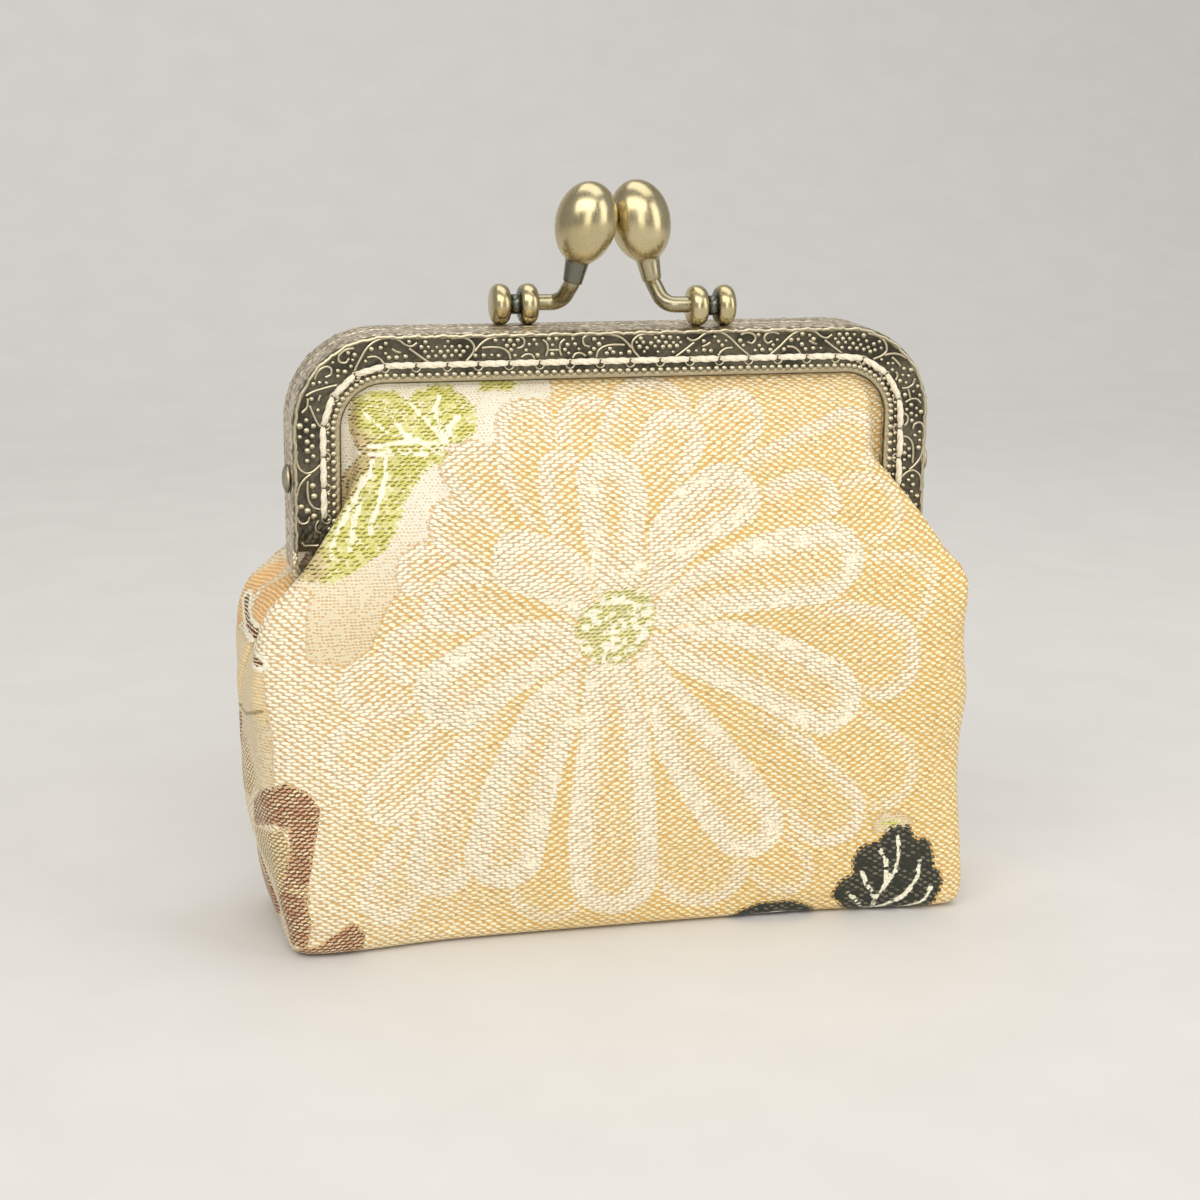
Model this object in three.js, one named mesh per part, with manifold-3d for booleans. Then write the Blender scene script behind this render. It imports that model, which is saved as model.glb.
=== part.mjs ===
// Coin purse: two brocade panels sewn into a hinged metal frame with a snap clasp of two egg-shaped heads.
// Millimetres. The purse stands on z = 0, its front faces -y, and x runs to the right across the front.
import * as THREE from "three";
import { mergeVertices } from "three/addons/utils/BufferGeometryUtils.js";
import Module from "manifold-3d";

const wasm = await Module();
wasm.setup();

// Frame sizes
const FRAME_WIDTH = 85;
const FRAME_TOP = 80;
const FRAME_CORNER_RADIUS = 12;
const FACE_WIDTH = 6.3;
const HALF_DEPTH = 5;
const GAP_FROM_MIDDLE = 0.2;
const METAL_THICKNESS = 0.7;
const FLANGE_END_HEIGHT = 52.5;
const SIDE_STRIP_END_HEIGHT = 49.5;
const FLANGE_THICKNESS = 0.6;
const INNER_BEVEL = 0.5;
// Rounding of the outer edge: distance inward from the edge and distance back from the face
const EDGE_ROUNDING = [
  [1.1, 0],
  [0.45, 0.2],
  [0.1, 0.6],
  [0, 1.2],
];

// How finely round shapes are divided
const CORNER_STEPS = 8;
const TURNED_SIDES = 22;
const HINGE_SIDES = 20;
const BORE_SIDES = 14;

// Hinge sizes; the rivets pass through the sides of the front legs
const HINGE_HEIGHT = 61.5;
const HINGE_DEPTH = 2.2;
const EAR_RADIUS = 1.8;
const EAR_CLEARANCE = 0.3;
const EAR_THICKNESS = 0.5;
const INNER_EAR_SETBACK = 1.5;
const PIN_RADIUS = 0.7;
const RIVET_HEAD_RADIUS = 1.9;
const RIVET_HEAD_HEIGHT = 0.65;
const RIVET_TAIL_RADIUS = 1.3;
const RIVET_TAIL_HEIGHT = 0.5;

// Clasp sizes, heights counted from the top of the frame
const POST_INNER_END = 9.4;
const POST_RING_RADIUS = 2.5;
const POST_RING_WIDTH = 2.55;
const POST_RING_ROUNDING = 1.1;
const POST_NECK_RADIUS = 1.4;
const POST_NECK_LENGTH = 1.2;
const POST_AXIS_HEIGHT = 2.8;
const POST_AXIS_DEPTH = 2.5;
const STEM_RADIUS = 1.05;
const BORE_RADIUS = 1.35;
const BORE_DEPTH = 2.2;
const HEAD_FOOT = new THREE.Vector3(-5.5, -0.7, 5.65);
const HEAD_TIP = new THREE.Vector3(-2.85, -1.95, 18.75);

// Cloth sizes
const CLOTH_THICKNESS = 1.6;
const SEAM_GAP = 0.15;
const CLOTH_INSET = 2.9;
const CLOTH_DEPTH_IN_CHANNEL = 4.0;
const BASE_SEAM_SHORTENING = 0.06;
const BASE_EDGE_HEIGHT = 3;
const SIDE_LEAN_SHARE = 0.4;
const MID_SHARE = 0.55;
const SHARPEST_MITRE = 0.75;

// Sections of one panel from the base up to the lower legs, one row per height.
// edge: seam or sewn edge, turn: the middle of the gusset or where the cloth rounds the frame,
// fold: the soft fold between front and side, mid and centre: how far the front swells,
// lean: how far the section leans sideways.
const SECTION_COLUMNS = "z edgeX edgeY turnX turnY foldX foldY midY centreY lean".split(" ");
const PANEL_SECTIONS = [
  [0, 43.8, 0, 43.6, 4.9, 44, 9.6, 8.7, 8.4, 1.7],
  [0.9, 45.4, 0, 45.3, 5.4, 45.2, 11.2, 10.3, 10, 1.9],
  [3.2, 46.2, 0, 46, 5.5, 45.7, 11.6, 10.9, 10.7, 1.9],
  [7, 47, 0, 46.7, 5.6, 46, 11.7, 11.5, 11.4, 1.4],
  [12.5, 48, 0, 47.4, 5.7, 46.2, 11.7, 12.2, 12.4, 0.9],
  [18.5, 48.9, 0, 48.2, 5.7, 46.2, 11.7, 12.8, 13.1, 0.4],
  [24.5, 49.4, 0, 48.6, 5.7, 46.2, 11.6, 13.1, 13.6, 0],
  [30.5, 49.4, 0, 48.7, 5.7, 46.5, 11.5, 13.2, 13.9, -0.1],
  [35.5, 49, 0, 48.5, 5.6, 46.8, 11.2, 13.2, 13.9, -1.1],
  [40, 47.6, 0, 47.6, 5.5, 46.9, 10.8, 13, 13.8, -1],
  [43.5, 45.6, 0, 46.4, 5.4, 47, 10.3, 12.8, 13.6, -0.4],
  [46.3, 43, 0.5, 44.4, 5.3, 46.4, 9.8, 12.6, 13.4, 0.3],
  [48.5, 41.2, 1.8, 40.6, 5.8, 44.8, 9.4, 12.4, 13.2, 0.9],
  [50.3, 40.2, 3.3, 37, 5.6, 43.3, 9.1, 12.2, 13, 1],
  [52, 39.6, 3.9, 35, 4.7, 42, 8.8, 12, 12.8, 1.1],
  [53.7, 39.6, 4, 34.9, 4.4, 40.8, 8.5, 11.7, 12.5, 1.1],
  [56.7, 39.6, 4, 34.9, 4.3, 38.6, 7.9, 11.2, 12, 1],
  [59.9, 39.6, 4, 35.2, 4.1, 36.2, 7.2, 10.6, 11.4, 0.7],
].map((values) => Object.fromEntries(values.map((value, i) => [SECTION_COLUMNS[i], value])));

// Swell of the panel above the legs' lower part, up to the sewn edge under the top of the frame.
const CROWN_SECTIONS = [
  { z: 63.5, centreY: 10.5 },
  { z: 67, centreY: 9.2 },
  { z: 70.1, centreY: 7.4 },
  { z: 72, centreY: 5.7 },
  { z: 73.4, centreY: CLOTH_DEPTH_IN_CHANNEL },
  { z: 75.4, centreY: CLOTH_DEPTH_IN_CHANNEL },
  { z: 77.1, centreY: CLOTH_DEPTH_IN_CHANNEL },
];

// How the cloth leaves the frame's inner edge: setbacks in millimetres, swells as shares of the middle's swell,
// and for the flat rows held in the channel the places of the turn and the fold as shares of the width.
const CROWN_EDGE = {
  turnSetback: 0.8,
  foldSetback: 1.6,
  foldSwell: 0.42,
  midSwell: 0.92,
  flatTurn: 0.86,
  flatFold: 0.76,
};

// Rows of the flat base, as shares of the way from the seam under the base to its front edge.
const BASE_SHARES = [0, 0.35, 0.7];
const STEPS_PER_SPAN = [4, 4, 5, 4];

// Egg-shaped head with its collar: distance along the axis and radius
const HEAD_PROFILE = [
  [0, 0],
  [0, 1.45],
  [0.3, 1.6],
  [2.3, 1.9],
  [2.75, 1.75],
  [3.1, 1.95],
  [4.0, 2.85],
  [5.2, 3.5],
  [6.6, 3.88],
  [8.0, 3.97],
  [9.4, 3.82],
  [10.6, 3.42],
  [11.7, 2.7],
  [12.5, 1.75],
  [13.0, 0.8],
  [13.2, 0],
];

// Left clasp wire from inside its post to inside its head, heights counted from the top of the frame
const STEM_POINTS = [
  [-11.2, 2.5, 2.8],
  [-8.9, 2.5, 2.8],
  [-7.2, 2.2, 2.88],
  [-6.3, 1.3, 3.5],
  [-5.8, 0.2, 4.7],
  [-5.5, -0.67, 5.7],
  [-5.06, -0.88, 7.85],
];

const HALF_WIDTH = FRAME_WIDTH / 2;
const CORNER_X = HALF_WIDTH - FRAME_CORNER_RADIUS;
const CORNER_Z = FRAME_TOP - FRAME_CORNER_RADIUS;

const brass = (color, roughness) => new THREE.MeshStandardMaterial({ color, roughness, metalness: 1 });
const MATERIALS = {
  frame: brass(0x6e6448, 0.45),
  clasp: brass(0x9a8f6a, 0.35),
  rivet: brass(0x5a5240, 0.5),
  cloth: new THREE.MeshStandardMaterial({ color: 0xeed9ae, roughness: 0.8, metalness: 0 }),
};

// Closed geometry from points and triangles, turned the right way round if its volume came out negative
function closedGeometry(points, triangles) {
  let volume = 0;
  for (const [a, b, c] of triangles) {
    volume += points[a].dot(new THREE.Vector3().crossVectors(points[b], points[c]));
  }
  const facing = volume < 0 ? triangles.map(([a, b, c]) => [a, c, b]) : triangles;
  const geometry = new THREE.BufferGeometry().setFromPoints(points);
  geometry.setIndex(facing.flat());
  return geometry;
}

function solidFrom(geometry) {
  const bare = geometry.clone();
  bare.deleteAttribute("normal");
  bare.deleteAttribute("uv");
  const merged = mergeVertices(bare, 1e-4);
  const vertProperties = new Float32Array(merged.attributes.position.array);
  const triVerts = new Uint32Array(merged.index.array);
  return new wasm.Manifold(new wasm.Mesh({ numProp: 3, vertProperties, triVerts }));
}

function geometryFrom(solid) {
  const mesh = solid.getMesh();
  const geometry = new THREE.BufferGeometry();
  geometry.setAttribute("position", new THREE.BufferAttribute(mesh.vertProperties, 3));
  geometry.setIndex(new THREE.BufferAttribute(mesh.triVerts, 1));
  return geometry;
}

function boxSolid(low, high) {
  const size = high.map((value, i) => value - low[i]);
  const middle = high.map((value, i) => (value + low[i]) / 2);
  return solidFrom(new THREE.BoxGeometry(...size).translate(...middle));
}

// Rod along x between two x positions, around the hinge axis
function hingeRod(radius, fromX, toX) {
  const rod = new THREE.CylinderGeometry(radius, radius, Math.abs(toX - fromX), HINGE_SIDES);
  rod.rotateZ(Math.PI / 2);
  rod.translate((fromX + toX) / 2, -HINGE_DEPTH, HINGE_HEIGHT);
  return solidFrom(rod);
}

// Outline of the frame from the left leg's foot over the top to the right leg's foot
function frameOutline() {
  const stations = [];
  const add = (x, z, inX, inZ) => stations.push({ x, z, inX, inZ });
  add(-HALF_WIDTH, SIDE_STRIP_END_HEIGHT, 1, 0);
  for (const side of [-1, 1]) {
    for (let i = 0; i <= CORNER_STEPS; i += 1) {
      const share = side < 0 ? i / CORNER_STEPS : 1 - i / CORNER_STEPS;
      const angle = (share * Math.PI) / 2;
      const outX = side * Math.cos(angle);
      const outZ = Math.sin(angle);
      const x = side * CORNER_X + FRAME_CORNER_RADIUS * outX;
      const z = CORNER_Z + FRAME_CORNER_RADIUS * outZ;
      add(x, z, -outX, -outZ);
    }
  }
  add(HALF_WIDTH, SIDE_STRIP_END_HEIGHT, -1, 0);
  return stations;
}

// Channel section as distance inward from the outer edge and depth towards the front
function channelSection() {
  const front = HALF_DEPTH;
  const back = GAP_FROM_MIDDLE;
  const wall = METAL_THICKNESS;
  return [
    [FACE_WIDTH, front],
    ...EDGE_ROUNDING.map(([inward, setback]) => [inward, front - setback]),
    [0, back],
    [FACE_WIDTH, back],
    [FACE_WIDTH, back + FLANGE_THICKNESS],
    [wall, back + FLANGE_THICKNESS],
    [wall, front - wall - INNER_BEVEL],
    [wall + INNER_BEVEL, front - wall],
    [FACE_WIDTH, front - wall],
  ];
}

function frameChannel(facing) {
  const section = channelSection();
  const stations = frameOutline();
  const points = [];
  for (const { x, z, inX, inZ } of stations) {
    for (const [inward, depth] of section) {
      points.push(new THREE.Vector3(x + inX * inward, facing * depth, z + inZ * inward));
    }
  }
  const count = section.length;
  const triangles = [];
  for (let i = 0; i + 1 < stations.length; i += 1) {
    for (let j = 0; j < count; j += 1) {
      const a = i * count + j;
      const b = i * count + ((j + 1) % count);
      triangles.push([a, b, a + count], [b, b + count, a + count]);
    }
  }
  const flat = section.map(([inward, depth]) => new THREE.Vector2(inward, depth));
  const last = (stations.length - 1) * count;
  const turned = THREE.ShapeUtils.isClockWise(flat);
  for (const [a, second, third] of THREE.ShapeUtils.triangulateShape(flat, [])) {
    const [b, c] = turned ? [second, third] : [third, second];
    triangles.push([a, b, c], [last + a, last + c, last + b]);
  }
  return solidFrom(closedGeometry(points, triangles));
}

// Below the flanges only the thin side strip of each leg goes on
function trimLegEnds(solid) {
  const inside = HALF_WIDTH - METAL_THICKNESS;
  const low = [-inside, -HALF_DEPTH - 1, SIDE_STRIP_END_HEIGHT - 1];
  const high = [inside, HALF_DEPTH + 1, FLANGE_END_HEIGHT];
  return solid.subtract(boxSolid(low, high));
}

// The front legs are drilled at their sides for the rivets and notched at their inner flanges for the ears
function frontHalf() {
  let solid = trimLegEnds(frameChannel(-1));
  for (const side of [-1, 1]) {
    const outer = side * (HALF_WIDTH + 1);
    const inner = side * (HALF_WIDTH - METAL_THICKNESS - 1);
    const notchInner = side * (HALF_WIDTH - INNER_EAR_SETBACK - RIVET_TAIL_HEIGHT - 2 * EAR_CLEARANCE);
    const notchOuter = side * (HALF_WIDTH - METAL_THICKNESS);
    const reach = EAR_RADIUS + EAR_CLEARANCE;
    const low = [Math.min(notchInner, notchOuter), -1.5, HINGE_HEIGHT - reach];
    const high = [Math.max(notchInner, notchOuter), 0, HINGE_HEIGHT + reach];
    solid = solid.subtract(boxSolid(low, high));
    solid = solid.subtract(hingeRod(PIN_RADIUS + EAR_CLEARANCE, inner, outer));
  }
  return solid;
}

// The back half carries the ears, which reach forward inside the front legs
function backHalf() {
  let solid = trimLegEnds(frameChannel(1));
  for (const side of [-1, 1]) {
    const earInner = side * (HALF_WIDTH - INNER_EAR_SETBACK);
    const earOuter = side * (HALF_WIDTH - INNER_EAR_SETBACK + EAR_THICKNESS);
    const low = [Math.min(earInner, earOuter), -HINGE_DEPTH, HINGE_HEIGHT - EAR_RADIUS];
    const backFlange = HALF_DEPTH - METAL_THICKNESS / 2;
    const high = [Math.max(earInner, earOuter), backFlange, HINGE_HEIGHT + EAR_RADIUS];
    solid = solid.add(boxSolid(low, high));
    solid = solid.add(hingeRod(EAR_RADIUS, earInner, earOuter));
    solid = solid.subtract(hingeRod(PIN_RADIUS + EAR_CLEARANCE, earInner - side, earOuter + side * 0.2));
  }
  return solid;
}

// Domed rivet along the hinge axis, turned about its own axis and laid along x
function rivetGeometry(side) {
  const headFoot = HALF_WIDTH + EAR_CLEARANCE;
  const tailTop = HALF_WIDTH - INNER_EAR_SETBACK - EAR_CLEARANCE;
  const profile = [
    [0, tailTop - RIVET_TAIL_HEIGHT],
    [RIVET_TAIL_RADIUS, tailTop - RIVET_TAIL_HEIGHT],
    [RIVET_TAIL_RADIUS, tailTop],
    [PIN_RADIUS, tailTop],
    [PIN_RADIUS, headFoot],
    [RIVET_HEAD_RADIUS, headFoot],
    [RIVET_HEAD_RADIUS * 0.9, headFoot + RIVET_HEAD_HEIGHT * 0.5],
    [RIVET_HEAD_RADIUS * 0.55, headFoot + RIVET_HEAD_HEIGHT * 0.88],
    [0, headFoot + RIVET_HEAD_HEIGHT],
  ];
  const turned = new THREE.LatheGeometry(profile.map(([r, x]) => new THREE.Vector2(r, x)), HINGE_SIDES);
  turned.rotateZ((-side * Math.PI) / 2);
  turned.translate(0, -HINGE_DEPTH, HINGE_HEIGHT);
  return geometryFrom(solidFrom(turned));
}

// Post of two rounded rings with a neck between them, bored for the wire on the inner side
function postSolid() {
  const round = POST_RING_ROUNDING;
  const bevel = round * (1 - Math.SQRT1_2);
  const ring = (start) => [
    [start, POST_RING_RADIUS - round],
    [start + bevel, POST_RING_RADIUS - bevel],
    [start + round, POST_RING_RADIUS],
    [start + POST_RING_WIDTH - round, POST_RING_RADIUS],
    [start + POST_RING_WIDTH - bevel, POST_RING_RADIUS - bevel],
    [start + POST_RING_WIDTH, POST_RING_RADIUS - round],
  ];
  const second = POST_RING_WIDTH + POST_NECK_LENGTH;
  const end = second + POST_RING_WIDTH;
  const profile = [
    [0, 0],
    ...ring(0),
    [POST_RING_WIDTH, POST_NECK_RADIUS],
    [second, POST_NECK_RADIUS],
    ...ring(second),
    [end, 0],
  ];
  const turned = new THREE.LatheGeometry(profile.map(([x, r]) => new THREE.Vector2(r, x)), TURNED_SIDES);
  turned.rotateZ(Math.PI / 2);
  turned.translate(-POST_INNER_END, POST_AXIS_DEPTH, FRAME_TOP + POST_AXIS_HEIGHT);
  const bore = new THREE.CylinderGeometry(BORE_RADIUS, BORE_RADIUS, BORE_DEPTH + 1, BORE_SIDES);
  bore.rotateZ(Math.PI / 2);
  const boreMiddle = -POST_INNER_END + (1 - BORE_DEPTH) / 2;
  bore.translate(boreMiddle, POST_AXIS_DEPTH, FRAME_TOP + POST_AXIS_HEIGHT);
  return solidFrom(turned).subtract(solidFrom(bore));
}

function stemSolid() {
  const points = STEM_POINTS.map(([x, y, z]) => new THREE.Vector3(x, y, z + FRAME_TOP));
  const path = new THREE.CatmullRomCurve3(points, false, "centripetal");
  const round = new THREE.Shape().absarc(0, 0, STEM_RADIUS, 0, 2 * Math.PI);
  const wire = new THREE.ExtrudeGeometry(round, { steps: 16, curveSegments: 6, extrudePath: path });
  return solidFrom(wire);
}

function headSolid() {
  const profile = HEAD_PROFILE.map(([along, radius]) => new THREE.Vector2(radius, along));
  const axis = HEAD_TIP.clone().sub(HEAD_FOOT).normalize();
  const lean = new THREE.Quaternion().setFromUnitVectors(new THREE.Vector3(0, 1, 0), axis);
  const foot = HEAD_FOOT.clone().add(new THREE.Vector3(0, 0, FRAME_TOP));
  const egg = new THREE.LatheGeometry(profile, TURNED_SIDES);
  egg.applyQuaternion(lean).translate(foot.x, foot.y, foot.z);
  const bore = new THREE.CylinderGeometry(BORE_RADIUS, BORE_RADIUS, 2 * BORE_DEPTH + 1, BORE_SIDES);
  bore.applyQuaternion(lean).translate(foot.x, foot.y, foot.z);
  return solidFrom(egg).subtract(solidFrom(bore));
}

// How far the sewn edge and the frame's inner edge reach sideways at a height near the top
function reachAt(z, inset) {
  const radius = FRAME_CORNER_RADIUS - inset;
  const rise = Math.max(0, z - CORNER_Z);
  return CORNER_X + Math.sqrt(Math.max(0, radius * radius - rise * rise));
}

// Moves the control points of half a section inward by one distance, keeping seam edges in the seam's plane
function insetHalf(half, inset) {
  const inward = half.slice(1).map(([x, y], i) => {
    const [fromX, fromY] = half[i];
    return new THREE.Vector2(fromY - y, x - fromX).normalize();
  });
  return half.map(([x, y], i) => {
    const before = inward[Math.max(i - 1, 0)];
    const after = inward[Math.min(i, inward.length - 1)];
    const middle = i + 1 === half.length ? new THREE.Vector2(0, -1) : before.clone().add(after).normalize();
    const reach = inset / Math.max(SHARPEST_MITRE, middle.dot(before));
    const movedY = y > SEAM_GAP ? Math.max(y + middle.y * reach, SEAM_GAP) : SEAM_GAP;
    return [x + middle.x * reach, movedY];
  });
}

// Control points of one section, from the left edge over the centre to the right edge
function sectionControls(row, inset) {
  const outside = [
    [row.edgeX, Math.max(row.edgeY, SEAM_GAP)],
    [row.turnX, row.turnY],
    [row.foldX, row.foldY],
    [row.foldX * MID_SHARE, row.midY],
    [0, row.centreY],
  ];
  const half = inset > 0 ? insetHalf(outside, inset) : outside;
  const held = Math.min(1, row.edgeY / CLOTH_DEPTH_IN_CHANNEL);
  const sideLean = SIDE_LEAN_SHARE * row.lean * (1 - held);
  const lean = [sideLean, sideLean, row.lean, row.lean, row.lean];
  const left = half.map(([x, y], i) => new THREE.Vector3(lean[i] - x, -y, row.z));
  const right = half.slice(0, -1).map(([x, y], i) => new THREE.Vector3(lean[i] + x, -y, row.z));
  return [...left, ...right.reverse()];
}

// Section above the lower legs, where the cloth comes out from under the frame's inner edge
function crownSection({ z, centreY }) {
  const deep = CLOTH_DEPTH_IN_CHANNEL;
  const swell = centreY - deep;
  const open = swell > 0;
  const edgeX = reachAt(z, CLOTH_INSET);
  const turnX = open ? reachAt(z, FACE_WIDTH) - CROWN_EDGE.turnSetback : edgeX * CROWN_EDGE.flatTurn;
  const foldX = open ? turnX - CROWN_EDGE.foldSetback : edgeX * CROWN_EDGE.flatFold;
  const foldY = deep + swell * CROWN_EDGE.foldSwell;
  const midY = deep + swell * CROWN_EDGE.midSwell;
  return { z, edgeX, edgeY: deep, turnX, turnY: deep, foldX, foldY, midY, centreY, lean: 0 };
}

function sectionPoints(row, inset) {
  const curve = new THREE.CatmullRomCurve3(sectionControls(row, inset), false, "centripetal");
  const spans = [...STEPS_PER_SPAN, ...[...STEPS_PER_SPAN].reverse()];
  const points = [curve.getPoint(0)];
  spans.forEach((steps, span) => {
    for (let i = 1; i <= steps; i += 1) {
      points.push(curve.getPoint((span + i / steps) / spans.length));
    }
  });
  return points;
}

// Flat rows between the seam under the base and the lowest section
function baseRows(lowest) {
  const last = lowest.length - 1;
  const { x: left, z } = lowest[0];
  const { x: right } = lowest[last];
  return BASE_SHARES.map((share) =>
    lowest.map((point, j) => {
      const even = left + ((right - left) * j) / last;
      const shortened = 1 - BASE_SEAM_SHORTENING * (1 - share);
      const x = THREE.MathUtils.lerp(even, point.x, share) * shortened;
      const y = Math.min(point.y * share, -SEAM_GAP);
      return new THREE.Vector3(x, y, z);
    }),
  );
}

// Rows of points from the seam under the base to the sewn edge, for the outside or the inside of the cloth
function panelRows(side) {
  const upright = [...PANEL_SECTIONS, ...CROWN_SECTIONS.map(crownSection)].map((row) => {
    if (side === "outside") return sectionPoints(row, 0);
    const rounding = Math.min(1, row.z / BASE_EDGE_HEIGHT);
    const inset = CLOTH_THICKNESS * (0.3 + 0.7 * rounding);
    const lift = CLOTH_THICKNESS * (1 - rounding);
    return sectionPoints({ ...row, z: row.z + lift }, inset);
  });
  return [...baseRows(upright[0]), ...upright];
}

function panelGeometry(facing) {
  const outside = panelRows("outside");
  const inside = panelRows("inside");
  const rows = outside.length;
  const columns = outside[0].length;
  const points = [...outside.flat(), ...inside.flat()];
  points.forEach((point) => point.setY(-facing * point.y));
  const index = (side, i, j) => side * rows * columns + i * columns + j;
  const triangles = [];
  const quad = (a, b, c, d) => triangles.push([a, b, c], [a, c, d]);
  for (let i = 0; i + 1 < rows; i += 1) {
    for (let j = 0; j + 1 < columns; j += 1) {
      quad(index(0, i, j), index(0, i, j + 1), index(0, i + 1, j + 1), index(0, i + 1, j));
      quad(index(1, i, j), index(1, i + 1, j), index(1, i + 1, j + 1), index(1, i, j + 1));
    }
  }
  const last = { row: rows - 1, column: columns - 1 };
  for (let j = 0; j < last.column; j += 1) {
    quad(index(0, 0, j), index(1, 0, j), index(1, 0, j + 1), index(0, 0, j + 1));
    const k = last.row;
    quad(index(0, k, j), index(0, k, j + 1), index(1, k, j + 1), index(1, k, j));
  }
  for (let i = 0; i < last.row; i += 1) {
    quad(index(0, i, 0), index(0, i + 1, 0), index(1, i + 1, 0), index(1, i, 0));
    const k = last.column;
    quad(index(0, i, k), index(1, i, k), index(1, i + 1, k), index(0, i + 1, k));
  }
  return closedGeometry(points, triangles);
}

const purse = new THREE.Group();
purse.name = "coin_purse";

function addPiece(name, geometry, material) {
  const piece = new THREE.Mesh(geometry, material.clone());
  piece.name = name;
  purse.add(piece);
}

// The right clasp is the left one turned half round about the upright axis
function addClaspPair(name, solid) {
  const left = geometryFrom(solid);
  addPiece(`${name}_left`, left, MATERIALS.clasp);
  addPiece(`${name}_right`, left.clone().rotateZ(Math.PI), MATERIALS.clasp);
}

addPiece("pouch_front", panelGeometry(-1), MATERIALS.cloth);
addPiece("pouch_back", panelGeometry(1), MATERIALS.cloth);
addPiece("frame_front", geometryFrom(frontHalf()), MATERIALS.frame);
addPiece("frame_back", geometryFrom(backHalf()), MATERIALS.frame);
addPiece("hinge_rivet_left", rivetGeometry(-1), MATERIALS.rivet);
addPiece("hinge_rivet_right", rivetGeometry(1), MATERIALS.rivet);
addClaspPair("clasp_post", postSolid());
addClaspPair("clasp_stem", stemSolid());
addClaspPair("clasp_head", headSolid());

export default purse;
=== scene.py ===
# %% [markdown]
# # A brocade coin purse in a snap frame
#
# The purse is two panels of brocade, sewn into a hinged and embossed brass frame that snaps shut
# with two crossed egg-shaped heads. Each step says first what a piece is and how it could be made,
# and then makes it. Sizes are in millimetres, +Z is up, and the front of the purse faces -Y.

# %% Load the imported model
import math
import bmesh
import bpy
import numpy as np
from mathutils import Matrix, Vector


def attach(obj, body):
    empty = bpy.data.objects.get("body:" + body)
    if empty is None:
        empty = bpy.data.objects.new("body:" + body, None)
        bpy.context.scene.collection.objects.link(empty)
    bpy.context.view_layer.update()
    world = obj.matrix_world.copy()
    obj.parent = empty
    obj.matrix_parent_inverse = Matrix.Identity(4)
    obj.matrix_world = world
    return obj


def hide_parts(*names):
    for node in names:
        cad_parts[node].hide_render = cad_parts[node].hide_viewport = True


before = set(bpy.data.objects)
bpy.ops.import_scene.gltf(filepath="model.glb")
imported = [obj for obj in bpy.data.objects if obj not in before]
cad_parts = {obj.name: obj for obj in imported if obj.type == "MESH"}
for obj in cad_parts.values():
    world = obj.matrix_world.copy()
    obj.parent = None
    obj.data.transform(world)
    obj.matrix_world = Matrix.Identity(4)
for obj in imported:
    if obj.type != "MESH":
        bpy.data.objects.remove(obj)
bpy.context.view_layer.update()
MM = 0.001
print("packed nodes:", ", ".join(sorted(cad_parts)))

# %% [markdown]
# ## Numbers that travel through a material
#
# A node material is a formula drawn as boxes. Wiring each box by hand makes long code, so a small
# class stands for a number on its way through the nodes: adding or multiplying two of them adds
# the matching Math node. The weave below then reads like the arithmetic that it is.

# %% A small notation for material nodes
def feed(tree, socket, value):
    if isinstance(value, Signal):
        tree.links.new(value.socket, socket)
    else:
        socket.default_value = value


class Signal:
    def __init__(self, tree, socket):
        self.tree = tree
        self.socket = socket

    def math(self, operation, *others):
        node = self.tree.nodes.new("ShaderNodeMath")
        node.operation = operation
        for socket, value in zip(node.inputs, (self, *others)):
            feed(self.tree, socket, value)
        return Signal(self.tree, node.outputs[0])

    def __add__(self, other):
        return self.math("ADD", other)

    def __sub__(self, other):
        return self.math("SUBTRACT", other)

    def __mul__(self, other):
        return self.math("MULTIPLY", other)

    def __truediv__(self, other):
        return self.math("DIVIDE", other)

    def inverse(self):
        return self.math("MULTIPLY_ADD", -1.0, 1.0)

    def centred(self):
        """A number from 0 to 1, moved to lie round zero."""
        return self - 0.5

    def squared(self):
        return self.math("MULTIPLY", self)

    def ramp(self, low, high, start=0.0, end=1.0):
        node = self.tree.nodes.new("ShaderNodeMapRange")
        node.interpolation_type = "SMOOTHSTEP"
        for socket, value in zip(node.inputs, (self, low, high, start, end)):
            feed(self.tree, socket, value)
        return Signal(self.tree, node.outputs[0])


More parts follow.
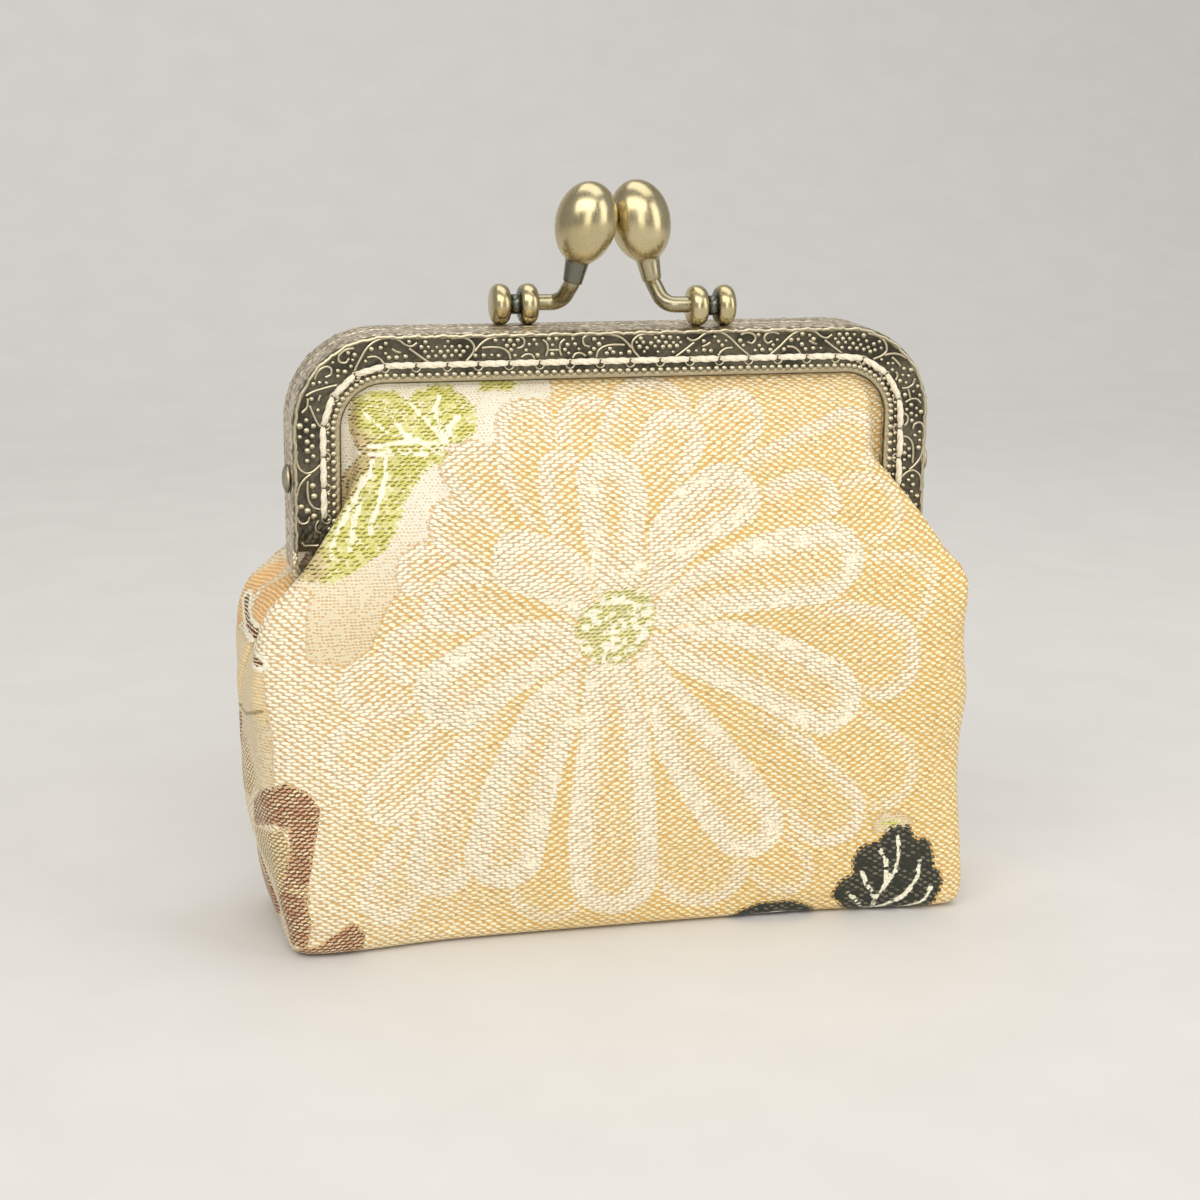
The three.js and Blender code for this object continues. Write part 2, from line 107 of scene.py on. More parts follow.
class Finish:
    """A material with one Principled shader, and the nodes that feed it."""

    def __init__(self, name):
        self.material = bpy.data.materials.new(name)
        self.material.use_nodes = True
        self.tree = self.material.node_tree
        self.shader = self.tree.nodes["Principled BSDF"]

    def node(self, kind, **settings):
        made = self.tree.nodes.new(kind)
        for name, value in settings.items():
            setattr(made, name, value)
        return made

    def out(self, node, name=0):
        return Signal(self.tree, node.outputs[name])

    def attribute(self, name):
        return self.out(self.node("ShaderNodeAttribute", attribute_name=name), "Fac")

    def place_on_piece(self):
        return self.out(self.node("ShaderNodeTexCoord"), "Object")

    def split(self, place):
        parts = self.node("ShaderNodeSeparateXYZ")
        feed(self.tree, parts.inputs[0], place)
        return [self.out(parts, axis) for axis in "XYZ"]

    def joined(self, x, y, z=0.0):
        parts = self.node("ShaderNodeCombineXYZ")
        for socket, value in zip(parts.inputs, (x, y, z)):
            feed(self.tree, socket, value)
        return self.out(parts)

    def chance(self, column, row):
        node = self.node("ShaderNodeTexWhiteNoise", noise_dimensions="2D")
        feed(self.tree, node.inputs["Vector"], self.joined(column, row))
        return self.out(node, "Value")

    def noise(self, place, scale, detail=2.0, roughness=0.5):
        node = self.node("ShaderNodeTexNoise")
        feed(self.tree, node.inputs["Vector"], place)
        for name, value in (("Scale", scale), ("Detail", detail), ("Roughness", roughness)):
            node.inputs[name].default_value = value
        return self.out(node, 0)

    def mix(self, share, first, second):
        node = self.node("ShaderNodeMix", data_type="RGBA")
        feed(self.tree, node.inputs[0], share)
        for socket, value in ((node.inputs[6], first), (node.inputs[7], second)):
            feed(self.tree, socket, value if isinstance(value, Signal) else (*value, 1.0))
        return self.out(node, 2)

    def shade(self, **values):
        for name, value in values.items():
            feed(self.tree, self.shader.inputs[name.replace("_", " ")], value)

    def relief(self, height, distance, strength=1.0):
        node = self.node("ShaderNodeBump")
        node.inputs["Strength"].default_value = strength
        node.inputs["Distance"].default_value = distance
        feed(self.tree, node.inputs["Height"], height)
        feed(self.tree, self.shader.inputs["Normal"], self.out(node))


# %% [markdown]
# ## The form of the cloth
#
# A soft purse could be inflated by a cloth simulation, but here the sag, the tucked gussets and the
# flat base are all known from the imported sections, so each panel is lofted through them. Every
# section is a smooth curve from seam to seam: edge, turn, fold, middle and centre, then back again.

# %% Sizes of the frame and sections of one panel
FRAME_WIDTH = 85.0
FRAME_TOP = 80.0
FRAME_CORNER_RADIUS = 12.0
FACE_WIDTH = 6.3
CORNER_X = FRAME_WIDTH / 2 - FRAME_CORNER_RADIUS
CORNER_Z = FRAME_TOP - FRAME_CORNER_RADIUS
CLOTH_INSET = 2.9
CLOTH_DEPTH = 4.0
SEAM_GAP = 0.01
MID_SHARE = 0.55
SIDE_LEAN_SHARE = 0.4
BASE_SEAM_SHORTENING = 0.06
# how the cloth leaves the frame at the crown, where it swells and where it lies flat in the channel
TURN_CLEARANCE = 0.8
FOLD_WIDTH = 1.6
FOLD_SWELL, MID_SWELL = 0.42, 0.92
FLAT_TURN_SHARE, FLAT_FOLD_SHARE = 0.86, 0.76

SECTION_COLUMNS = "z edge_x edge_y turn_x turn_y fold_x fold_y mid_y centre_y lean".split()
PANEL_SECTIONS = (
    (0, 43.8, 0, 43.6, 4.9, 44, 9.6, 8.7, 8.4, 1.7),
    (0.9, 45.4, 0, 45.3, 5.4, 45.2, 11.2, 10.3, 10, 1.9),
    (3.2, 46.2, 0, 46, 5.5, 45.7, 11.6, 10.9, 10.7, 1.9),
    (7, 47, 0, 46.7, 5.6, 46, 11.7, 11.5, 11.4, 1.4),
    (12.5, 48, 0, 47.4, 5.7, 46.2, 11.7, 12.2, 12.4, 0.9),
    (18.5, 48.9, 0, 48.2, 5.7, 46.2, 11.7, 12.8, 13.1, 0.4),
    (24.5, 49.4, 0, 48.6, 5.7, 46.2, 11.6, 13.1, 13.6, 0),
    (30.5, 49.4, 0, 48.7, 5.7, 46.5, 11.5, 13.2, 13.9, -0.1),
    (35.5, 49, 0, 48.5, 5.6, 46.8, 11.2, 13.2, 13.9, -1.1),
    (40, 47.6, 0, 47.6, 5.5, 46.9, 10.8, 13, 13.8, -1),
    (43.5, 45.6, 0, 46.4, 5.4, 47, 10.3, 12.8, 13.6, -0.4),
    (46.3, 43, 0.5, 44.4, 5.3, 46.4, 9.8, 12.6, 13.4, 0.3),
    (48.5, 41.2, 1.8, 40.6, 5.8, 44.8, 9.4, 12.4, 13.2, 0.9),
    (50.3, 40.2, 3.3, 37, 5.6, 43.3, 9.1, 12.2, 13, 1),
    (52, 39.6, 3.9, 35, 4.7, 42, 8.8, 12, 12.8, 1.1),
    (53.7, 39.6, 4, 34.9, 4.4, 40.8, 8.5, 11.7, 12.5, 1.1),
    (56.7, 39.6, 4, 34.9, 4.3, 38.6, 7.9, 11.2, 12, 1),
    (59.9, 39.6, 4, 35.2, 4.1, 36.2, 7.2, 10.6, 11.4, 0.7),
)
CROWN_SECTIONS = ((63.5, 10.5), (67, 9.2), (70.1, 7.4), (72, 5.7), (73.4, 4), (75.4, 4), (77.1, 4))


def reach_at(z, inset):
    radius = FRAME_CORNER_RADIUS - inset
    rise = max(0.0, z - CORNER_Z)
    return CORNER_X + math.sqrt(max(0.0, radius * radius - rise * rise))


def crown_section(z, centre_y):
    swell = centre_y - CLOTH_DEPTH
    edge_x = reach_at(z, CLOTH_INSET)
    if swell > 0:
        turn_x = reach_at(z, FACE_WIDTH) - TURN_CLEARANCE
        fold_x = turn_x - FOLD_WIDTH
    else:
        turn_x = edge_x * FLAT_TURN_SHARE
        fold_x = edge_x * FLAT_FOLD_SHARE
    fold_y = CLOTH_DEPTH + FOLD_SWELL * swell
    mid_y = CLOTH_DEPTH + MID_SWELL * swell
    return (z, edge_x, CLOTH_DEPTH, turn_x, CLOTH_DEPTH, fold_x, fold_y, mid_y, centre_y, 0)


def section_controls(values):
    row = dict(zip(SECTION_COLUMNS, values))
    half = np.array(
        [
            (row["edge_x"], max(row["edge_y"], SEAM_GAP)),
            (row["turn_x"], row["turn_y"]),
            (row["fold_x"], row["fold_y"]),
            (row["fold_x"] * MID_SHARE, row["mid_y"]),
            (0, row["centre_y"]),
        ]
    )
    held = min(1.0, row["edge_y"] / CLOTH_DEPTH)
    side_lean = SIDE_LEAN_SHARE * row["lean"] * (1 - held)
    lean = np.array([side_lean, side_lean, row["lean"], row["lean"], row["lean"]])
    left = np.column_stack([lean - half[:, 0], -half[:, 1]])
    right = np.column_stack([lean + half[:, 0], -half[:, 1]])[-2::-1]
    return np.vstack([left, right])


# %% Smooth curves through points
def cubic(share, start, end, slope_in, slope_out):
    bend = 3 * (end - start) - 2 * slope_in - slope_out
    twist = 2 * (start - end) + slope_in + slope_out
    return start + share * slope_in + share**2 * bend + share**3 * twist


def curve_through(points, steps):
    """A soft curve through the points, with the spacing that keeps it from looping at near points."""
    points = np.asarray(points, float)
    ends = [2 * points[0] - points[1], *points, 2 * points[-1] - points[-2]]
    share = np.linspace(0, 1, steps, endpoint=False)[:, None]
    made = []
    for a, b, c, d in zip(ends, ends[1:], ends[2:], ends[3:]):
        gaps = [max(np.linalg.norm(q - p), 1e-6) ** 0.5 for p, q in ((a, b), (b, c), (c, d))]
        first, middle, last = gaps
        slope_b = middle * ((b - a) / first - (c - a) / (first + middle) + (c - b) / middle)
        slope_c = middle * ((c - b) / middle - (d - b) / (middle + last) + (d - c) / last)
        made.append(cubic(share, b, c, slope_b, slope_c))
    return np.vstack([*made, points[-1:]])


def lengths_along(points):
    steps = np.linalg.norm(np.diff(points, axis=0), axis=1)
    return np.concatenate([[0], np.cumsum(steps)])


def spread_evenly(points, count):
    along = lengths_along(points)
    wanted = np.linspace(0, along[-1], count)
    return np.column_stack([np.interp(wanted, along, column) for column in points.T])


def smooth_between(knots, values, wanted):
    """Values between table rows, without a kink at any row."""
    slopes = np.gradient(values, knots, axis=0)
    i = np.clip(np.searchsorted(knots, wanted, side="right") - 1, 0, len(knots) - 2)
    width = (knots[i + 1] - knots[i])[:, None]
    share = (wanted - knots[i])[:, None] / width
    return cubic(share, values[i], values[i + 1], slopes[i] * width, slopes[i + 1] * width)


# %% Loft one panel and measure the cloth along and across it
COLUMNS = 241
ROW_STEP = 0.5
BASE_ROWS = 17
CURVE_STEPS = 24


def panel_grid():
    rows = [*PANEL_SECTIONS, *(crown_section(*row) for row in CROWN_SECTIONS)]
    heights = np.array([row[0] for row in rows], float)
    controls = np.array([section_controls(row) for row in rows])
    middle = controls.shape[1] // 2
    along = lengths_along(np.column_stack([controls[:, middle, 1], heights]))
    wanted = np.linspace(0, along[-1], round(along[-1] / ROW_STEP) + 1)
    fine_heights = smooth_between(along, heights[:, None], wanted)[:, 0]
    fine_controls = smooth_between(along, controls.reshape(len(rows), -1), wanted)
    upright = []
    for z, control in zip(fine_heights, fine_controls):
        section = spread_evenly(curve_through(control.reshape(-1, 2), CURVE_STEPS), COLUMNS)
        upright.append(np.column_stack([section, np.full(COLUMNS, z)]))
    return np.array([*base_rows(upright[0]), *upright])


def base_rows(lowest):
    """The flat base, from the seam under the purse to its front edge."""
    even = np.linspace(lowest[0, 0], lowest[-1, 0], COLUMNS)
    rows = []
    for share in np.linspace(0, 1, BASE_ROWS, endpoint=False):
        shortened = 1 - BASE_SEAM_SHORTENING * (1 - share)
        x = (even + (lowest[:, 0] - even) * share) * shortened
        y = (lowest[:, 1] + SEAM_GAP) * share - SEAM_GAP
        rows.append(np.column_stack([x, y, np.full(COLUMNS, lowest[0, 2])]))
    return rows


def cloth_measures(grid):
    """How far each point lies across the cloth from its centre line, and up it from the base's edge."""
    centre = COLUMNS // 2
    steps = np.linalg.norm(np.diff(grid, axis=1), axis=2)
    across = np.concatenate([np.zeros((len(grid), 1)), np.cumsum(steps, axis=1)], axis=1)
    up = lengths_along(grid[:, centre])
    u = across - across[:, centre : centre + 1]
    v = np.repeat((up - up[BASE_ROWS])[:, None], COLUMNS, axis=1)
    return u, v


smooth_panel = panel_grid()
cloth_u, cloth_v = cloth_measures(smooth_panel)
print("panel grid", smooth_panel.shape, "cloth width", round(float(np.ptp(cloth_u)), 1), "mm")

# %% [markdown]
# ## Softness: puckers, waves and rolled seams
#
# Brocade that is pulled into a frame never lies quite flat. Sculpting would do, but waves that are
# worked out from the cloth's own measures stay the same on each run: a few long waves, small puckers
# that fade below the stitched frame edge, and an inward roll where the panels meet at the seams.

# %% Move the cloth along its normals
WAVES = (
    # direction in degrees, wavelength, height, phase
    (75, 46, 0.30, 0.6),
    (12, 31, 0.22, 2.1),
    (-38, 24, 0.16, 4.4),
    (58, 17, 0.09, 1.3),
    (-15, 13, 0.06, 5.2),
)
PUCKER_SPACING = 5.6
PUCKER_HEIGHT = 0.34
PUCKER_REACH = 6.5
PUCKER_START = (0.3, 2.5)
PUCKER_LEVELS = (50, 58)
# distances from the frame and from the floor over which the cloth becomes free to wave
FREE_FROM_FRAME = (0.5, 7)
FREE_FROM_FLOOR = (0.2, 4)
HINGE_LEVEL = 50
SEAM_TOP = 49
FLOOR_CLEARANCE = 0.02
SEAM_ROLL_WIDTH = 1.3
SEAM_ROLL_DEPTH = 0.55


def step_up(values, low, high):
    share = np.clip((values - low) / (high - low), 0, 1)
    return share * share * (3 - 2 * share)


def below_frame(points):
    """Distance from the frame's inner edge into the opening, negative under the metal."""
    x, z = np.abs(points[..., 0]), points[..., 2]
    corner = np.hypot(np.maximum(x - CORNER_X, 0), np.maximum(z - CORNER_Z, 0))
    straight = np.maximum(x - FRAME_WIDTH / 2, z - FRAME_TOP)
    in_corner = (x > CORNER_X) & (z > CORNER_Z)
    outside = np.where(in_corner, corner - FRAME_CORNER_RADIUS, straight)
    return -outside - FACE_WIDTH


def surface_normals(grid):
    normals = np.cross(np.gradient(grid, axis=1), np.gradient(grid, axis=0))
    return normals / np.maximum(np.linalg.norm(normals, axis=2, keepdims=True), 1e-9)


def softened(grid, u, v, turn):
    """The panel with its waves; turn shifts the waves, so that the two panels differ."""
    lift = np.zeros(u.shape)
    for direction, wavelength, height, phase in WAVES:
        angle = math.radians(direction)
        along = u * math.cos(angle) + v * math.sin(angle)
        lift += height * np.sin(2 * math.pi * along / wavelength + phase + turn)
    opening = below_frame(grid)
    level = grid[..., 2]
    free = np.where(level < HINGE_LEVEL, 1.0, step_up(opening, *FREE_FROM_FRAME))
    free *= step_up(level, *FREE_FROM_FLOOR)
    pucker = np.cos(2 * math.pi * (u + 0.6 * np.sin(v / 5)) / PUCKER_SPACING + 2 * turn)
    near_edge = step_up(opening, *PUCKER_START) * np.exp(-np.maximum(opening, 0) / PUCKER_REACH)
    near_edge *= step_up(level, *PUCKER_LEVELS)
    edge = np.minimum(u - u[:, :1], u[:, -1:] - u)
    edge = np.where(level < SEAM_TOP, edge, SEAM_ROLL_WIDTH)
    edge = np.minimum(edge, np.where(v < 0, -grid[..., 1] - SEAM_GAP, SEAM_ROLL_WIDTH))
    roll = np.clip(1 - edge / SEAM_ROLL_WIDTH, 0, 1) ** 2
    move = lift * free + PUCKER_HEIGHT * pucker * near_edge - SEAM_ROLL_DEPTH * roll
    moved = grid + surface_normals(grid) * move[..., None]
    moved[..., 1] = np.minimum(moved[..., 1], -SEAM_GAP)
    moved[..., 2] = np.maximum(moved[..., 2], FLOOR_CLEARANCE)
    return moved


# %% [markdown]
# ## The woven pattern as distances
#
# On the loom, a large chrysanthemum, leaves and red-brown petals are chosen thread by thread.
# Painting a picture of them would fix their sharpness. Instead each motif is a distance in
# millimetres, worked out for every point of the cloth: positive inside and negative outside. A petal
# is a row of circles that swell along a bent line, and a leaf is an outline. The material later cuts
# these distances at the scale of the threads, so the edges come out stepped.

# %% Distances to petals, outlines and lines
FAR_AWAY = 1e3


def petal_depth(u, v, petal):
    """Depth inside one petal: circles that swell along a bent line from the flower's middle."""
    bend, tip, radius = petal[:2], petal[2:4], petal[4]
    line = spread_evenly(curve_through((FLOWER_CENTRE, bend, tip), 8), PETAL_CIRCLES)
    swell = radius * np.sin(np.linspace(0.1, 1, PETAL_CIRCLES) * math.pi / 2) ** PETAL_SLIMNESS
    return np.maximum.reduce([r - np.hypot(u - x, v - y) for (x, y), r in zip(line, swell)])


def line_distance(u, v, points):
    nearest = np.full(u.shape, FAR_AWAY)
    for (ax, ay), (bx, by) in zip(points, points[1:]):
        dx, dy = bx - ax, by - ay
        share = np.clip(((u - ax) * dx + (v - ay) * dy) / max(dx * dx + dy * dy, 1e-9), 0, 1)
        nearest = np.minimum(nearest, np.hypot(u - ax - share * dx, v - ay - share * dy))
    return nearest


def outline_depth(u, v, points):
    """Depth inside a closed outline."""
    ring = [*points, points[0]]
    inside = np.zeros(u.shape, bool)
    for (ax, ay), (bx, by) in zip(ring, ring[1:]):
        crosses = (ay > v) != (by > v)
        rise = by - ay if by != ay else 1e-9
        inside ^= crosses & (u < (bx - ax) * (v - ay) / rise + ax)
    return np.where(inside, 1.0, -1.0) * line_distance(u, v, ring)


def box_depth(u, v, low, high):
    return np.minimum.reduce([u - low[0], high[0] - u, v - low[1], high[1] - v])


# %% Where the motifs lie on the cloth, in millimetres across and up
FLOWER_CENTRE = (-2.0, 44.7)
FLOWER_MIDDLE_RADIUS = 5.2
PETAL_CIRCLES = 18
PETAL_SLIMNESS = 0.75
# the place where a petal bends, the centre of its round tip, and the radius of the tip
FAR_PETALS = (
    (-24, 34, -36, 29, 4.4), (-20.5, 39.5, -33, 37.5, 4.3), (-18.5, 44, -28, 42, 4),
    (-19.5, 50.5, -29, 53, 3.5), (-16.5, 53, -24, 58, 4), (-15, 57.5, -20.5, 65.5, 4),
    (-12.5, 60.5, -13, 71, 4.2), (-5.5, 62, -5, 71.5, 4.2), (-1.5, 62, 3.5, 73, 5.5),
    (6.5, 60, 14, 71.5, 4.7), (11.5, 59, 30.5, 67.5, 5), (16, 53.5, 31.5, 58.5, 5),
    (20.5, 47.5, 36, 46.5, 6.3), (21.5, 31.5, 34, 22.5, 6.2), (10, 24, 20.5, 9, 4.4),
    (-8, 23, -12, 8.5, 5.4), (-22, 24, -33, 9.5, 4.3), (-22, 33, -32, 23, 3.6),
)
BACK_PETALS = (
    (-17, 48.5, -23.5, 49, 4.4), (0.5, 60, 6, 69, 4.2), (11, 56, 23.5, 60.5, 4),
    (21, 42, 34.5, 38.5, 6.4), (15.5, 29.5, 27, 17, 5.5), (4.5, 25, 9, 10.5, 7),
    (-19.5, 28.5, -26, 13, 4.6), (-10, 58.5, -9, 65, 3.2),
)
FRONT_PETALS = (
    (16, 39, 26.5, 33.5, 5.5), (8, 28, 15.5, 16, 5.3), (-12.5, 29, -17.5, 14, 5.1),
    (-2.5, 25, -3, 10, 6.2), (-16, 40.5, -22.5, 36.5, 5), (-12, 52, -16.5, 54, 3.9),
    (14, 50.5, 24.5, 51.5, 5.6), (4.5, 57, 12, 61.5, 4.2), (-4.5, 57.5, -3, 63.5, 4.4),
)
GREEN_LEAVES = (
    (
        (-36, 72.2), (-35, 75.6), (-32.1, 77), (-29.2, 77), (-27.9, 74.8), (-26.6, 77), (-24.3, 78),
        (-22.2, 77.8), (-20.8, 76), (-19.4, 74.3), (-19.6, 70.7), (-21.2, 69.5), (-23.8, 68.9),
        (-27, 68.6), (-30, 68.2), (-32.6, 66.7), (-34.6, 68), (-36.2, 70.2),
    ),
    (
        (-23.2, 68), (-24.4, 66.6), (-26.6, 65.6), (-28.7, 63.2), (-30.4, 61.5), (-31.4, 59),
        (-32.8, 57), (-34, 55.4), (-37.5, 53), (-40.5, 51.6), (-44.5, 52), (-51, 53.6), (-48, 56.4),
        (-43, 60.3), (-37.8, 65.2), (-35, 67.2), (-31.8, 67.8), (-28, 68.3),
    ),
    ((-18, 78.8), (-12.4, 78.6), (-14.4, 76.8), (-18.6, 76.6)),
    ((34.4, 14.2), (35.4, 15.3), (36.2, 14.7), (37, 15), (38, 14.2), (36.2, 13.8)),
)
LEAF_VEINS = (
    ((-27.8, 75.2), (-26.4, 73.2), (-25.1, 71.3), (-23.3, 69.3)),
    ((-23.7, 75.9), (-24.6, 73.7), (-24.1, 71.3), (-23.3, 69.3)),
    ((-21.5, 72.8), (-23.1, 71.3), (-22.9, 70.3)),
    ((-30.8, 74.2), (-29.9, 72.8), (-28.7, 70.5), (-26.1, 69.3)),
    ((-33.6, 73.7), (-32.4, 72.3), (-30.4, 70.4), (-28.1, 69.8)),
    ((-33.4, 68.8), (-29.2, 69.3), (-23, 68.9)),
    ((-33.1, 67.6), (-30.7, 67.9), (-23.4, 67.9)),
    ((-31.1, 67.3), (-31.4, 64.8), (-33.9, 60.6), (-35.2, 58.5), (-35.3, 57.5)),
    ((-32.9, 66.8), (-33.5, 64.8), (-36, 62.7), (-36, 61.1), (-37.1, 59.1), (-38.1, 55.5)),
    ((-34.2, 64.8), (-36.6, 61.6), (-39.4, 58), (-40.3, 56), (-40.4, 54.5)),
)
LEAF_SHADE = (
    (-36.6, 73.6), (-36.8, 70.4), (-34.4, 68), (-36.8, 65.8), (-38.6, 63.7), (-41.9, 61.6),
    (-44.6, 59), (-43.6, 53),
)
PLAIN_AREA = (
    (-42.6, 51.5), (-40.7, 41.6), (-35.9, 40.8), (-33, 43), (-32, 49.4), (-29, 54.5), (-26.2, 59.1),
    (-23.4, 63.2), (-20.6, 66.8), (-16, 70), (-9, 76), (-9, 80), (-38, 80), (-40, 68), (-54, 54),
)
DARK_LEAVES = (
    (
        (27.1, 4.2), (28.2, 6.2), (30.4, 7.4), (30.4, 9.4), (31.3, 10.9), (32.6, 11.8), (34.2, 11.8),
        (35, 13.1), (36, 14.1), (38.6, 14), (39.2, 12.4), (40, 11.8), (40.8, 12.2), (41.8, 10.8),
        (42.1, 9), (42, 7.6), (42.9, 6.8), (43.1, 5.2), (42.5, 3.6), (41.2, 1), (36, -1), (30.1, 0.6),
    ),
    ((13, 0.5), (14.4, 2.6), (17.2, 3.6), (21.4, 3.8), (24.6, 2.2), (25.6, 0), (19, -1.4)),
)
DARK_VEINS = (
    ((32.6, 0.6), (29.6, 4.4)),
    ((33, 1.2), (33.4, 3.2), (32.2, 5.4), (31.7, 7.4)),
    ((33.4, 3.2), (35, 5.6), (35.2, 9), (34.4, 10.6)),
    ((35, 5.6), (36.4, 7.2), (37, 9.4), (37, 12.6)),
    ((33.6, 1.4), (37.6, 3.6), (39.6, 6.2), (40.1, 8.6)),
    ((37, 0.9), (40.4, 2.6), (41.4, 4.6)),
    ((16, 0.8), (20, 1.6), (23.4, 1)),
)
BROWN_PETALS = (
    (
        (-52.7, 21.6), (-49.2, 23.9), (-45, 25.5), (-42.5, 24.6), (-41, 22.4), (-41.6, 19.4),
        (-42.4, 16.1), (-43.5, 11.6), (-46.6, 11.4), (-44.9, 16.7), (-44.9, 19.6), (-46.9, 20.2),
        (-54.3, 17.8),
    ),
    ((-46.9, 11), (-43.9, 10.1), (-43.8, 6.2), (-44.9, 2.6), (-47.9, 3.4), (-49.9, 7.6)),
    ((-46, 2), (-42.5, 3.2), (-38.5, 6.2), (-37.2, 4.5), (-37.6, 1), (-38.5, -3), (-46, -3)),
)
TAN_PETALS = (
    (
        (-46, 19), (-45.2, 16.6), (-46.2, 12.6), (-43.4, 12), (-43.6, 9.6), (-50.4, 9.2), (-55.2, 13.6),
        (-55, 17),
    ),
    ((-50.4, 25.6), (-54, 30), (-58.8, 30), (-58.8, 22), (-54, 22)),
)
RIBBED_BAND = ((-60, 33.6), (-46.6, 41))
SIDE_PLAIN = ((-60, 24), (-46.6, 34))
# a painted fold shadow: a dark line where the side cloth creases, along the lower edge of the ribbed
# band
RIB_CREASE_SHADOW = ((-60, 32.4), (-53.3, 33.2), (-47, 35.2))
FRONT_STRIPE = ((-60, 42.5), (-55.6, 42.3), (-50, 41.8), (-47, 41.3))
BACK_STRIPE = ((-50.4, 45.4), (-52.2, 43.8), (-55, 42.8), (-60, 42.4))
FRONT_ORANGE = ()
BACK_ORANGE = (
    ((-47.6, 51), (-52.6, 48.4), (-51.4, 45.4), (-51.6, 42.6), (-49.6, 41), (-48.8, 45)),
    ((-54, 49.6), (-53.2, 46.4), (-54, 44), (-60, 43.4), (-60, 48)),
)

# %% Work out every motif for one panel
# tone from 0, pale, to 1, gold: its least, then what each step across the cloth adds and where
GROUND_TONE = 0.36
GOLD_STEPS = ((0.16, -44, -35), (0.38, -36, -6))
PALE_STEP_UP = (0.22, 58, 74)
# petals, width of their rim, how much paler than the ground rim and core are, and how coarse the rim is
PETAL_LAYERS = (
    (FAR_PETALS, 1.7, 0.46, 0.06, 0.90),
    (BACK_PETALS, 2.0, 0.62, 0.14, 0.82),
    (FRONT_PETALS, 2.9, 0.86, 0.26, 0.64),
)
PETAL_EDGE = 0.25
RIM_FADE = 1.0
OUTLINE_REACH = (-0.9, -0.3)
OUTLINE_DARKER, OUTLINE_STRENGTH = 0.15, 0.8
LEAF_SHADE_REACH = (-3.2, -1.6)


def deepest(depth, u, v, motifs):
    return np.maximum.reduce([np.full(u.shape, -FAR_AWAY), *(depth(u, v, motif) for motif in motifs)])


def ground_tone(u, v):
    tone = np.full(u.shape, GROUND_TONE)
    for more, low, high in GOLD_STEPS:
        tone += more * step_up(u, low, high)
    paler, low, high = PALE_STEP_UP
    return tone - paler * step_up(v, low, high)


def flower_fields(u, v):
    """Tone of the weave, its coarseness, the lean of its floats, and the depth inside the flower."""
    ground = ground_tone(u, v)
    tone = ground + 0.06 * np.sin(u / 9) * np.cos(v / 11)
    coarse = np.ones(u.shape)
    lean = np.full(u.shape, -1.0)
    flower = np.full(u.shape, -FAR_AWAY)
    for petals, rim_width, rim_paler, core_paler, rim_coarse in PETAL_LAYERS:
        for number, petal in enumerate(petals):
            depth = petal_depth(u, v, petal)
            inside = step_up(depth, -PETAL_EDGE, PETAL_EDGE)
            core = step_up(depth, rim_width - RIM_FADE, rim_width + RIM_FADE)
            outline = step_up(depth, *OUTLINE_REACH) * (1 - inside)
            tone = tone + (ground + OUTLINE_DARKER - tone) * OUTLINE_STRENGTH * outline
            tone = tone + (ground - rim_paler + (rim_paler - core_paler) * core - tone) * inside
            coarse = coarse + (rim_coarse + (1 - rim_coarse) * core - coarse) * inside
            lean = np.where(depth > 0, -1.0 if number % 2 == 0 else 1.0, lean)
            flower = np.maximum(flower, depth)
    return tone, coarse, lean, flower


def pattern_fields(u, v, shift, stripe, orange):
    """Every motif of one panel; shift moves the large motifs, while stripe and orange stay in place."""
    fields = {
        "stripe": line_distance(u, v, stripe),
        "orange": deepest(outline_depth, u, v, orange),
        "ribbed": box_depth(u, v, *RIBBED_BAND),
        "crease_shadow": line_distance(u, v, RIB_CREASE_SHADOW),
    }
    side_plain = box_depth(u, v, *SIDE_PLAIN)
    u, v = u + shift[0], v + shift[1]
    fields["tone"], fields["coarse"], fields["lean"], flower = flower_fields(u, v)
    leaf = deepest(outline_depth, u, v, GREEN_LEAVES)
    pale = np.minimum(np.maximum(leaf + 1, outline_depth(u, v, PLAIN_AREA)), -flower)
    veins = [line_distance(u, v, line) for line in (*LEAF_VEINS, *DARK_VEINS)]
    return fields | {
        "plain": np.maximum(pale, side_plain),
        "leaf": leaf,
        "leaf_shade": step_up(-line_distance(u, v, LEAF_SHADE), *LEAF_SHADE_REACH),
        "dark": deepest(outline_depth, u, v, DARK_LEAVES),
        "vein": np.minimum.reduce(veins),
        "brown": deepest(outline_depth, u, v, BROWN_PETALS),
        "tan": deepest(outline_depth, u, v, TAN_PETALS),
        "middle": FLOWER_MIDDLE_RADIUS - np.hypot(u - FLOWER_CENTRE[0], v - FLOWER_CENTRE[1]),
    }


petal_count = sum(len(layer[0]) for layer in PETAL_LAYERS)
print("petals", petal_count, "leaves", len(GREEN_LEAVES) + len(DARK_LEAVES))

# %% [markdown]
# ## The brocade
#
# The cloth is a lattice of bright cream floats over a gold or tan ground. An image would blur or
# repeat, so the lattice comes from the cloth's measures in millimetres: each cell holds one long float
# that leans, and every second row is moved by half a cell. Where the pattern asks for gold, the floats
# shrink and the ground shows, as in a halftone.

# %% Colours of the threads, and the cells of a weave
UV_UNIT = 100.0
# width and height of one cell of each weave
FLOATS = (1.40, 0.46)
FINE_FLOATS = (0.50, 0.42)
LEAF_FLOATS = (0.86, 0.50)
HALF_DROP, THIRD_DROP = 1 / 2, 1 / 3
DROP_ROWS = 6.0

